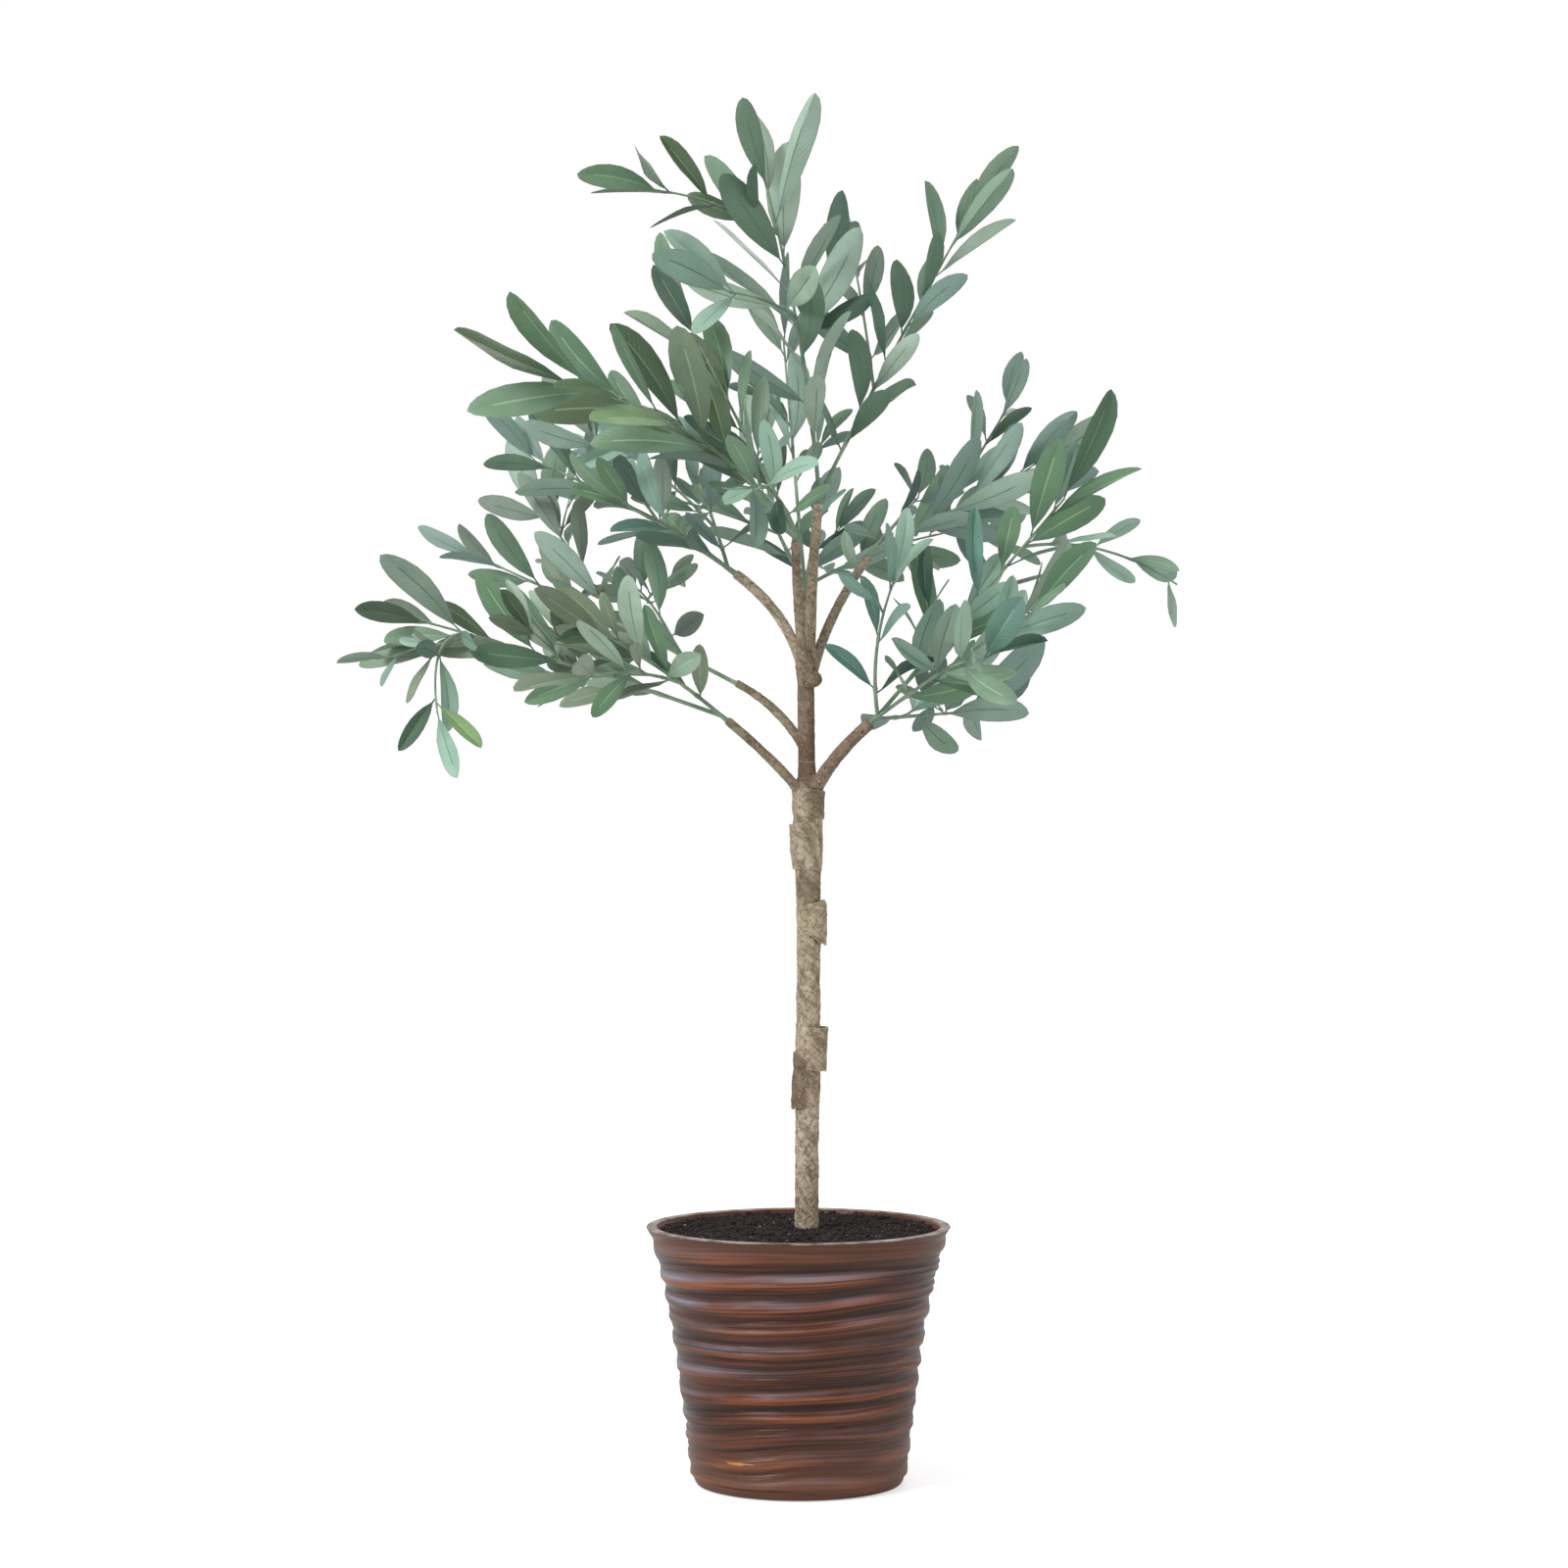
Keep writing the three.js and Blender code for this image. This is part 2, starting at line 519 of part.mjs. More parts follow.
const potMaterial = () => new THREE.MeshStandardMaterial({ color: '#5a3122', roughness: 0.55, metalness: 0 });
const soilMaterial = () => new THREE.MeshStandardMaterial({ color: '#241c17', roughness: 1, metalness: 0 });
const barkMaterial = () => new THREE.MeshStandardMaterial({ color: '#9c8b6a', roughness: 0.85, metalness: 0 });
const leafMaterial = () => new THREE.MeshStandardMaterial({ color: '#5f8068', roughness: 0.6, metalness: 0 });

// Assembly

const tree = new THREE.Group();

function addPiece(name, geometry, material) {
  const piece = new THREE.Mesh(geometry, material);
  piece.name = name;
  tree.add(piece);
}

addPiece('pot', toGeometry(toSolid(potGeometry())), potMaterial());
addPiece('soil', toGeometry(toSolid(soilGeometry())), soilMaterial());
addPiece('trunk', toGeometry(trunkSolid()), barkMaterial());
for (const [name, solid] of Object.entries(boughSolids())) {
  addPiece(name, toGeometry(solid), barkMaterial());
}
takeLimbRoom();
FOLIAGE.forEach(takeStemRoom);
for (const mass of FOLIAGE) {
  addPiece(mass.name, toGeometry(foliageSolid(mass)), leafMaterial());
}

export default tree;
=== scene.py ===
# %% [markdown]
# # A potted artificial olive tree
#
# The CAD model of the tree is loaded as a frame: it fixes every size and place, and the pieces
# made here take its place in the picture. The tree has five finishes: a ridged glazed pot,
# crumbly soil, a paper-wrapped trunk with its boughs, thin green stems, and printed leaves.
# Shapes are reckoned in millimetres and made in metres, so MM stands where one becomes the other.

import math

import bmesh
import bpy
import numpy as np
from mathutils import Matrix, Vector, noise


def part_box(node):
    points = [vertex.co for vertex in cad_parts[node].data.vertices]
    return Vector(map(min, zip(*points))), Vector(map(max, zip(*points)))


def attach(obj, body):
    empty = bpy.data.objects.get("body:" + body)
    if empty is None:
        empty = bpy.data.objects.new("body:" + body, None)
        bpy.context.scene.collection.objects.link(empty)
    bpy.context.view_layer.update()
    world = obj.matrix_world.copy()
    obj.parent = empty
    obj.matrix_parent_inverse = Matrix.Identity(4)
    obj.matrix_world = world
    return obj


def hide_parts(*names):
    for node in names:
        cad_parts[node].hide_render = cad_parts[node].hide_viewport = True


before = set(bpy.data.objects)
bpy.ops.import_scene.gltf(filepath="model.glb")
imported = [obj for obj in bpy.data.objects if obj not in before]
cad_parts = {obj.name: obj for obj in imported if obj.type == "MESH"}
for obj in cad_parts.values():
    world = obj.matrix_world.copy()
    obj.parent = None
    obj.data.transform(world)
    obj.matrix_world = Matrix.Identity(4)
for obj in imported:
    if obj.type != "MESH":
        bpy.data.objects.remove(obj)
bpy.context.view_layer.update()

# %% [markdown]
# The camera comes first, because every later choice is judged through it. The photograph was
# taken from about three metres away, level with the middle of the tree, so the pot's rim shows
# as a flat ellipse and hardly any line converges.

# %% Camera
scene = bpy.context.scene
scene.view_settings.view_transform = "Standard"

bpy.ops.object.camera_add(location=(-0.0127, -3.151, 0.603), rotation=(math.pi / 2, 0, 0))
camera = bpy.context.object
camera.name = "front_camera"
camera.data.sensor_width = 36
camera.data.lens = 83.7
scene.camera = camera
print("camera", camera.name, camera.data.lens, "mm")

# %% [markdown]
# Operators act on whatever is selected, so short helpers select some objects and nothing else,
# add a primitive on its own, start an edit with all of it selected, extrude a ring, and shade a
# finished piece smooth.

# %% Helpers for operators
MM = 0.001


def select_only(*objects):
    bpy.ops.object.select_all(action="DESELECT")
    for item in objects:
        item.select_set(True)
    bpy.context.view_layer.objects.active = objects[-1]


def add_primitive(name, add, **sizes):
    """Adds a primitive with nothing else selected, and applies its place to its mesh."""
    bpy.ops.object.select_all(action="DESELECT")
    add(**sizes)
    bpy.context.object.name = name
    bpy.ops.object.transform_apply()
    return bpy.context.object


def edit_all():
    bpy.ops.object.mode_set(mode="EDIT")
    bpy.ops.mesh.select_all(action="SELECT")


def extrude(step, widen=None, centre=(0, 0, 0)):
    """Extrudes what is selected by a step in metres, and may widen the new ring round a centre."""
    bpy.ops.mesh.extrude_region_move(TRANSFORM_OT_translate={"value": step})
    if widen is not None:
        bpy.ops.transform.resize(value=(widen, widen, 1), center_override=centre)


def smooth_by_angle(piece, degrees):
    """Shades a piece smooth, but leaves an edge sharp where its faces meet at more than this."""
    select_only(piece)
    bpy.ops.object.shade_smooth_by_angle(angle=math.radians(degrees))


print("one unit is", MM, "m")

# %% [markdown]
# ## The pot
#
# The real pot is stoneware with a wound, hand-thrown look: about a dozen ridges run round it,
# none of them level or even, with fine brush grooves between. It could be a plain lathed shape
# with a bump map, but the ridges scallop its outline. So one corner is extruded along the
# profile of the wall, the profile is spun round the axis as on a wheel, and the ridges are then
# pressed into the spun wall in code, where they can drift up, down, in and out.

# %% Pot profile, spun round its axis
POT_HEIGHT = 222
POT_FOOT_RADIUS = 87
POT_WAIST_RADIUS = 93
POT_SPREAD = 26.4
POT_FLARE = 12.6
POT_FLARE_POWER = 4
POT_EDGE_ROUND = 8
POT_WALL = 9.5
LIP_ROUND = 1.6  # of its outer edge; the inner one is a little sharper
LIP_INNER_ROUND = 1.4
LIP_INSET = 1.8  # from the outer edge to the middle of its rounding
POT_FLOOR = 12
POT_CENTRE = 50  # radius of the plain disc in the middle of the foot and of the floor
POT_TURNS = 240
WALL_STEPS = 132


def pot_radius(height):
    share = height / POT_HEIGHT
    return POT_WAIST_RADIUS + POT_SPREAD * share + POT_FLARE * share**POT_FLARE_POWER


def pot_inside(height):
    return pot_radius(height) - POT_WALL


def rounded_edge(radius, height, size, turns):
    """Corners round an edge, which bulges outwards, or inwards where the size is negative."""
    for turn in turns:
        angle = math.radians(turn)
        yield radius + size * math.cos(angle), height + abs(size) * math.sin(angle)


def pot_profile():
    """(radius, height) from the middle of the foot, up the wall, over the lip and down inside."""
    yield 0, 0
    yield POT_CENTRE, 0
    yield POT_FOOT_RADIUS - 1.5, 0
    bulge = POT_WAIST_RADIUS - POT_FOOT_RADIUS - 1.6
    for step in range(6):
        turn = math.pi / 2 * step / 5
        yield POT_FOOT_RADIUS + bulge * math.sin(turn), POT_EDGE_ROUND * (1 - math.cos(turn)) + 0.3
    for step in range(1, WALL_STEPS + 1):
        height = POT_EDGE_ROUND + (POT_HEIGHT - 2.4 - POT_EDGE_ROUND) * step / WALL_STEPS
        yield pot_radius(height), height
    outer, inner = pot_radius(POT_HEIGHT) - LIP_INSET, pot_inside(POT_HEIGHT) + LIP_INNER_ROUND
    yield from rounded_edge(outer, POT_HEIGHT - LIP_INSET, LIP_ROUND, (20, 55, 85))
    yield pot_radius(POT_HEIGHT) - 5, POT_HEIGHT - 0.1
    yield from rounded_edge(inner, POT_HEIGHT - LIP_ROUND, -LIP_INNER_ROUND, (85, 45, 10))
    for height in (215, 208, 190, 140, 60, POT_FLOOR):
        yield pot_inside(height), height
    yield POT_CENTRE, POT_FLOOR
    yield 0, POT_FLOOR


pot = add_primitive("glazed_pot", bpy.ops.mesh.primitive_plane_add, size=0.01)
edit_all()
bpy.ops.mesh.merge(type="CENTER")
corners = list(pot_profile())
for (radius, height), (next_radius, next_height) in zip(corners, corners[1:]):
    extrude(((next_radius - radius) * MM, 0, (next_height - height) * MM))
bpy.ops.mesh.select_all(action="SELECT")
bpy.ops.mesh.spin(steps=POT_TURNS, angle=2 * math.pi, center=(0, 0, 0), axis=(0, 0, 1))
bpy.ops.mesh.select_all(action="SELECT")
bpy.ops.mesh.remove_doubles(threshold=1e-5)
bpy.ops.mesh.normals_make_consistent(inside=False)
bpy.ops.object.mode_set(mode="OBJECT")
print("pot", len(pot.data.vertices), "corners")

# %% [markdown]
# Some shapes are too uneven for operators: there a function says where each corner goes. Numbers
# can be stored on the corners as well, as attributes that a material reads later.

# %% Helpers for corners
def corner_places(piece):
    places = np.empty(len(piece.data.vertices) * 3)
    piece.data.vertices.foreach_get("co", places)
    return places.reshape(-1, 3)


def place_corners(piece, places):
    piece.data.vertices.foreach_set("co", places.ravel())
    piece.data.update()


def move_corners(piece, move):
    """Moves every corner of a piece to the place that the function gives for it."""
    place_corners(piece, np.array([move(Vector(place)) for place in corner_places(piece)]))


def number_corners(piece, **numbers):
    """Stores numbers on the corners, one for each or one for all, for a material to read."""
    count = len(piece.data.vertices)
    for name, values in numbers.items():
        attribute = piece.data.attributes.new(name, "FLOAT", "POINT")
        attribute.data.foreach_set("value", np.full(count, values, dtype=np.float32))


def clip(value):
    return min(1, max(0, value))


print("corners of the pot reach", round(corner_places(pot).max() / MM, 1), "mm")

# %% [markdown]
# Each ridge is a wave in the height: steep on its underside and gentle above, as a thumb leaves
# it. The wave's height drifts round the pot, and its depth fades and returns. The place on the
# wave is stored on the corners for the glaze: bare red-brown on the crests, painted shade in the
# grooves, and a painted blue-grey reflection of the light on the upper slopes.

# %% Ridges pressed into the wall
RIDGE_RISE = 20  # from one main ridge to the next; finer ones lie between
MINOR_RISE = 7.3
RIDGE_DEPTH = 3.3
LEAST_INWARD = 0.05
MINOR_SHARE = 0.45  # at most this share of the wave is the finer one
CREST = 0.38  # the share of the wave below its crest
MINOR_CREST = 0.45
SLOPE_MIDDLE = 0.62  # where the painted reflection lies on the wave, and how far it reaches up and down
SLOPE_REACH = 0.24
REFLECTION_FROM_FOOT, REFLECTION_FROM_LIP = 34, 26  # the painted reflection is full this far from the foot and the lip
REFLECTION_SIDE, REFLECTION_TURN = 0.44, 2.9  # how much the painted reflection differs round the pot, and where it is brightest
FADE_LENGTH = 14  # the ridges fade over this height at the foot and the lip
# how the ridges tilt: millimetres, waves round the pot, and where the first one starts
TILTS = ((3.4, 1, -2.0), (1.5, 2, 1.9))
# each slow cloud: its strength, its seed, how coarse it is round the pot, and how fast it changes
# with the height
DRIFTS = {
    "lift": (9, 0, 0.7, 0.013), "quiver": (2.4, 7, 1.2, 0.03), "minor": (0.8, 3, 1.2, 0.02),
    "depth": (1.1, 5, 1.1, 0.03), "share": (1.6, 9, 1.5, 0.035), "groove": (0.3, 2, 2.2, 0.6),
}


def drifting(angle, height, strength, seed, coarse, along):
    """A slow cloud that closes on itself round an axis."""
    x, y = math.cos(angle) * coarse + seed, math.sin(angle) * coarse
    return strength * noise.noise(Vector((x, y, height * along)))


def wave_shape(turns, crest):
    place = turns % 1
    if place < crest:
        return 0.5 - 0.5 * math.cos(math.pi * place / crest)
    return 0.5 + 0.5 * math.cos(math.pi * (place - crest) / (1 - crest))


crests, slopes, levels = [], [], []


def press_ridges(corner):
    height = corner.z / MM
    radius = math.hypot(corner.x, corner.y) / MM
    crest, slope, level = 0.5, 0.0, height
    if height > 0.2 and radius > pot_inside(height) + 5:
        angle = math.atan2(corner.y, corner.x)
        drift = {name: drifting(angle, height, *cloud) for name, cloud in DRIFTS.items()}
        for amount, waves, start in TILTS:
            level += amount * math.sin(waves * angle + start)
        level += drift["lift"] + drift["quiver"]
        turns = level / RIDGE_RISE
        main = wave_shape(turns, CREST)
        minor = wave_shape(level / MINOR_RISE + drift["minor"], MINOR_CREST)
        depth = min(1, max(0.3, 0.8 + drift["depth"]))
        share = clip(0.5 + drift["share"]) * MINOR_SHARE
        shape = main * (1 - share) + minor * share
        fade = min(1, height / FADE_LENGTH, (POT_HEIGHT - height + 3) / FADE_LENGTH)
        inward = fade * (depth * RIDGE_DEPTH * (1 - shape) + drift["groove"])
        scale = (radius - max(LEAST_INWARD, inward)) / radius
        corner = Vector((corner.x * scale, corner.y * scale, corner.z))
        crest = shape * depth + 0.2 * (1 - depth)
        # slope holds the share of a painted reflection: a blue-grey gleam of the light on each ridge's
        # upper slope
        slope = max(0.0, 1 - abs(turns % 1 - SLOPE_MIDDLE) / SLOPE_REACH) * depth
        slope *= 0.56 + REFLECTION_SIDE * math.cos(angle + REFLECTION_TURN)
        slope *= min(1, height / REFLECTION_FROM_FOOT, (POT_HEIGHT - height) / REFLECTION_FROM_LIP)
    crests.append(crest)
    slopes.append(slope)
    levels.append(level * MM)
    return corner


move_corners(pot, press_ridges)
number_corners(pot, crest=crests, slope=slopes, level=levels)
smooth_by_angle(pot, 50)
print("ridges", round(POT_HEIGHT / RIDGE_RISE), "deepest", RIDGE_DEPTH, "mm")

# %% [markdown]
# Nearly every finish here needs the same thing: a cloudy pattern that can be stretched, such as
# brush streaks on the pot, creases in the bark paper, or the print of a leaf. It is built once as
# a node group on Object coordinates and placed in each material with its own values.

# %% A stretched cloud pattern as a node group
def build_grain():
    group = bpy.data.node_groups.new("grain", "ShaderNodeTree")
    sockets = group.interface
    defaults = {"Scale": 1, "Detail": 3, "Low": 0.3, "High": 0.7, "Turn": 0}
    stretch = sockets.new_socket("Stretch", in_out="INPUT", socket_type="NodeSocketVector")
    stretch.default_value = (1, 1, 1)
    for name, value in defaults.items():
        socket = sockets.new_socket(name, in_out="INPUT", socket_type="NodeSocketFloat")
        socket.default_value = value
    sockets.new_socket("Value", in_out="OUTPUT", socket_type="NodeSocketFloat")
    inside, outside = (group.nodes.new(f"NodeGroup{end}") for end in ("Input", "Output"))
    kinds = ("TexCoord", "CombineXYZ", "Mapping", "VectorMath", "TexNoise", "MapRange")
    place, turn, turned, stretched, cloud, spread = (group.nodes.new(f"ShaderNode{k}") for k in kinds)
    stretched.operation = "MULTIPLY"
    for start, end in (
        (inside.outputs["Turn"], turn.inputs["Y"]),
        (place.outputs["Object"], turned.inputs["Vector"]),
        (turn.outputs[0], turned.inputs["Rotation"]),
        (turned.outputs[0], stretched.inputs[0]),
        (inside.outputs["Stretch"], stretched.inputs[1]),
        (stretched.outputs[0], cloud.inputs["Vector"]),
        (inside.outputs["Scale"], cloud.inputs["Scale"]),
        (inside.outputs["Detail"], cloud.inputs["Detail"]),
        (cloud.outputs["Fac"], spread.inputs["Value"]),
        (inside.outputs["Low"], spread.inputs["From Min"]),
        (inside.outputs["High"], spread.inputs["From Max"]),
        (spread.outputs["Result"], outside.inputs["Value"]),
    ):
        group.links.new(start, end)
    return group


grain = build_grain()
print("group", grain.name, [socket.name for socket in grain.interface.items_tree])

# %% [markdown]
# A material by hand is a row of nodes joined by noodles. A small class keeps that row readable:
# each call adds one node and returns the socket that the next node takes.

# %% Short ways to wire nodes
def linear(code):
    """Turns a web colour into the linear numbers that shaders expect."""
    shares = [int(code[i : i + 2], 16) / 255 for i in (0, 2, 4)]
    return (*[s / 12.92 if s < 0.04045 else ((s + 0.055) / 1.055) ** 2.4 for s in shares], 1)


class Wiring:
    def __init__(self, tree):
        self.nodes, self.links = tree.nodes, tree.links

    def feed(self, node, **values):
        """Gives sockets a number, a web colour, or a link from an earlier socket."""
        for name, value in values.items():
            socket = node.inputs[name.replace("_", " ")]
            if isinstance(value, bpy.types.NodeSocket):
                self.links.new(value, socket)
            else:
                socket.default_value = linear(value) if isinstance(value, str) else value

    def maths(self, operation, first, second=None):
        node = self.nodes.new("ShaderNodeMath")
        node.operation = operation
        for socket, value in zip(node.inputs, (first, second)):
            if isinstance(value, bpy.types.NodeSocket):
                self.links.new(value, socket)
            elif value is not None:
                socket.default_value = value
        return node.outputs[0]

    def times(self, first, second):
        return self.maths("MULTIPLY", first, second)

    def spread(self, value, low, high, to_low=0, to_high=1):
        """Spreads the range from low to high over another range, and holds it at both ends."""
        node = self.nodes.new("ShaderNodeMapRange")
        self.feed(node, Value=value, From_Min=low, From_Max=high, To_Min=to_low, To_Max=to_high)
        return node.outputs["Result"]

    def cloud(self, scale, stretch=(1, 1, 1), low=0.3, high=0.7, detail=3, turn=0):
        node = self.nodes.new("ShaderNodeGroup")
        node.node_tree = grain
        self.feed(node, Stretch=stretch, Scale=scale, Detail=detail, Low=low, High=high, Turn=turn)
        return node.outputs["Value"]

    def mix(self, share, first, second):
        """Mixes two colours, each a web colour or the socket of an earlier mix."""
        node = self.nodes.new("ShaderNodeMix")
        node.data_type = "RGBA"
        self.feed(node, Factor=share)
        for socket, colour in zip([s for s in node.inputs if s.type == "RGBA"], (first, second)):
            if isinstance(colour, str):
                socket.default_value = linear(colour)
            else:
                self.links.new(colour, socket)
        return next(s for s in node.outputs if s.type == "RGBA")

    def number(self, name):
        """Reads a number that is stored on the corners."""
        node = self.nodes.new("ShaderNodeAttribute")
        node.attribute_name = name
        return node.outputs["Fac"]

    def axis(self, letter):
        """Reads how far along X, Y or Z a place on the object lies."""
        split = self.nodes.new("ShaderNodeSeparateXYZ")
        self.feed(split, Vector=self.nodes.new("ShaderNodeTexCoord").outputs["Object"])
        return split.outputs[letter]

    def seen(self):
        """1 where the camera looks straight at the surface."""
        return self.nodes.new("ShaderNodeLightPath").outputs["Is Camera Ray"]


print("middle grey in shader numbers", round(linear("808080")[0], 3))

# %% [markdown]
# A second class starts a material and lays colours over each other, coat by coat, as a painter
# would. It ends with the bumps: the fine relief that only bends the light.

# %% Coats of colour
class Finish(Wiring):
    def __init__(self, name, roughness, specular):
        self.material = bpy.data.materials.new(name)
        self.material.use_nodes = True
        super().__init__(self.material.node_tree)
        self.shader = self.nodes["Principled BSDF"]
        self.feed(self.shader, Roughness=roughness, Specular_IOR_Level=specular)

    def coat(self, share, colour, strength=1):
        """Lays a colour over the body as far as the share reaches, times the strength."""
        if strength != 1:
            share = self.times(share, strength)
        self.body = self.mix(share, self.body, colour)

    def done(self, bumps=(), distance=0.001):
        """Feeds the shader with the body and with a chain of bumps, each a height and strength."""
        self.feed(self.shader, Base_Color=self.body)
        for height, strength in bumps:
            bump = self.nodes.new("ShaderNodeBump")
            self.feed(bump, Height=height, Strength=strength, Distance=distance)
            for link in self.shader.inputs["Normal"].links:
                self.feed(bump, Normal=link.from_socket)
            self.feed(self.shader, Normal=bump.outputs["Normal"])
        return self.material


print("classes", Wiring.__name__, "and", Finish.__name__)

# %% [markdown]
# The glaze was brushed on while the wheel turned, so its streaks run round the pot and follow the
# ridges. Streaks on plain Object coordinates would stay level, so these read the stored level as
# their height. Chips near the foot show the orange clay, and the lip is worn pale. At the end the
# pot is handed over to the frame, as every piece is: the body that it rides on, and the CAD nodes
# that it stands for.

# %% Pot glaze
def wound_streaks(glaze, around, along, low, high, detail):
    """Streaks that run round the wall at its drifting level."""
    place = glaze.nodes.new("ShaderNodeCombineXYZ")
    sides = {letter: glaze.times(glaze.axis(letter), around) for letter in ("X", "Y")}
    glaze.feed(place, Z=glaze.times(glaze.number("level"), along), **sides)
    cloud = glaze.nodes.new("ShaderNodeTexNoise")
    glaze.feed(cloud, Vector=place.outputs[0], Scale=1, Detail=detail)
    return glaze.spread(cloud.outputs["Fac"], low, high)


def make_glaze():
    glaze = Finish("pot_glaze", 0.36, 0.42)
    broad = wound_streaks(glaze, 6, 210, 0.38, 0.6, 4)
    fine = wound_streaks(glaze, 6, 420, 0.34, 0.66, 4)
    hairs = wound_streaks(glaze, 5, 800, 0.5, 0.36, 2)
    patches = glaze.cloud(8, (1, 1, 2.2), 0.4, 0.6)
    crest, slope, height = glaze.number("crest"), glaze.number("slope"), glaze.axis("Z")
    glaze.body = glaze.mix(fine, "36180F", "7A4328")
    glaze.coat(glaze.times(glaze.spread(crest, 0.42, 0.95), broad), "A65C30", 0.78)
    # painted shade: the grooves under the ridges are darkened where light from above would not reach
    glaze.coat(glaze.spread(crest, 0.05, 0.5, 0.7, 0), "1F0C07")
    glaze.coat(hairs, "1A0A06", 0.75)
    # painted reflection: a blue-grey gleam of the light on the ridges' upper slopes, brightest on one
    # side
    painted_reflection = glaze.times(glaze.times(slope, patches), glaze.spread(fine, 0, 1, 0.3, 1))
    glaze.coat(painted_reflection, "989EB2")
    glaze.coat(glaze.spread(height, 0.06, 0.01, 0, 0.3), "9A6A50")
    glaze.coat(glaze.spread(height, 0.195, 0.212, 0, 0.22), "8C5636")
    near_foot = glaze.times(glaze.spread(height, 0.024, 0.03), glaze.spread(height, 0.062, 0.055))
    chips = glaze.times(glaze.cloud(26, (1, 1, 9), 0.595, 0.62), near_foot)
    glaze.coat(glaze.times(chips, glaze.spread(crest, 0.7, 0.85)), "D09558")
    lip = glaze.spread(height, 0.2203, 0.2216)
    glaze.coat(glaze.times(lip, glaze.cloud(60, (1, 1, 1), 0.34, 0.62, 4)), "A9A29D")
    glaze.feed(glaze.shader, Roughness=glaze.spread(fine, 0, 1, 0.24, 0.42))
    return glaze.done([(fine, 0.5), (broad, 0.3)])


def hand_over(piece, nodes):
    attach(piece, "root")
    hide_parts(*nodes)
    piece.data.calc_loop_triangles()
    print(piece.name, len(piece.data.loop_triangles), "triangles for", len(nodes), "nodes")


pot.data.materials.append(make_glaze())
hand_over(pot, ["pot"])

# %% [markdown]
# ## The soil
#
# The soil is dark potting mix, heaped a little towards the trunk and clinging to the wall at the
# back, with white specks of perlite. A bump map would leave a smooth edge against the pale inner
# wall, so a disc is extruded up and then inwards ring by ring, its corners are heaped up in code,
# and crumbs are strewn over it as one joined mesh.

# %% Soil surface
SOIL_EDGE_HEIGHT = 218
SOIL_TOP = 219
SOIL_FLAT_RADIUS = 26
SOIL_FOOT = POT_FLOOR + 0.4
SOIL_GAP = 0.7  # between the soil and the wall, below its surface
SOIL_SHOULDER = 3  # how far under its edge the soil's own wall ends
SOIL_RINGS = 44
SOIL_TURNS = 200
RING_STEP = 0.7  # of a ring's width, taken off the radius by each extrusion
CLUMP_RISE, CLUMPS_PER_MM = 2.1, 0.05
CRUMB_RISE, CRUMBS_PER_MM = 0.9, 0.34
PILE_RISE = 6  # of the soil that clings to the wall at the back
PILE_FROM = 0.82  # of the radius
CALM_RADIUS, CALM_REACH = 11, 20  # level round the trunk, and rising to the full clumps from there
soil_radius = pot_inside(SOIL_EDGE_HEIGHT) - 0.6


def soil_height(x, y):
    """Height of the heaped soil at a place, all in millimetres."""
    radius = math.hypot(x, y)
    share = clip((soil_radius - radius) / (soil_radius - SOIL_FLAT_RADIUS))
    level = SOIL_EDGE_HEIGHT + (SOIL_TOP - SOIL_EDGE_HEIGHT) * share**0.8 - 1
    clumps = noise.fractal(Vector((x * CLUMPS_PER_MM, y * CLUMPS_PER_MM, 3)), 0.6, 2.1, 4)
    crumbs = noise.noise(Vector((x * CRUMBS_PER_MM, y * CRUMBS_PER_MM, 9)))
    outside = max(0, (radius / soil_radius - PILE_FROM) / 0.18)
    behind = max(0, y / soil_radius) ** 2 * outside
    piled = behind * PILE_RISE * max(0, 0.35 + noise.noise(Vector((x * 0.07, 1.5, 0.2))))
    calm = clip((radius - CALM_RADIUS) / CALM_REACH)
    return level + calm * (CLUMP_RISE * clumps + CRUMB_RISE * crumbs) + piled


def close_foot():
    """Closes the open ring that an extruded disc leaves at its foot, and ends the edit."""
    bpy.ops.mesh.select_all(action="DESELECT")
    bpy.ops.mesh.select_non_manifold()
    bpy.ops.mesh.edge_face_add()
    bpy.ops.mesh.select_all(action="SELECT")
    bpy.ops.mesh.normals_make_consistent(inside=False)
    bpy.ops.object.mode_set(mode="OBJECT")


soil = add_primitive(
    "potting_soil", bpy.ops.mesh.primitive_circle_add, vertices=SOIL_TURNS, fill_type="NGON",
    radius=(pot_inside(POT_FLOOR) - SOIL_GAP) * MM, location=(0, 0, SOIL_FOOT * MM),
)
edit_all()
low = SOIL_FOOT
for high in (140, 190, SOIL_EDGE_HEIGHT - SOIL_SHOULDER):
    extrude((0, 0, (high - low) * MM), (pot_inside(high) - SOIL_GAP) / (pot_inside(low) - SOIL_GAP))
    low = high
for ring in range(SOIL_RINGS, 0, -1):
    extrude((0, 0, 0.0001), (ring - RING_STEP) / ring)
close_foot()


def heap_soil(corner):
    if corner.z < (SOIL_EDGE_HEIGHT - SOIL_SHOULDER + 0.05) * MM:
        return corner
    return Vector((corner.x, corner.y, soil_height(corner.x / MM, corner.y / MM) * MM))


move_corners(soil, heap_soil)
print("soil", len(soil.data.vertices), "corners")

# %% [markdown]
# Anything strewn in hundreds is cheapest as one mesh made from arrays: each small form gives its
# points and faces, and they are strung together. A seeded row of random numbers makes each run
# the same.

# %% Crumbs and perlite
CRUMBS = 5200
PERLITE = 240
TRUNK_X = 6.8
TRUNK_CLEAR = 11.5
STREWN_OUT = 0.985  # of the soil's radius
LUMP_LEAST, LUMP_SPREAD = 0.7, 0.6  # how rough a lump is, in shares of its size
strewn = np.random.default_rng(11)


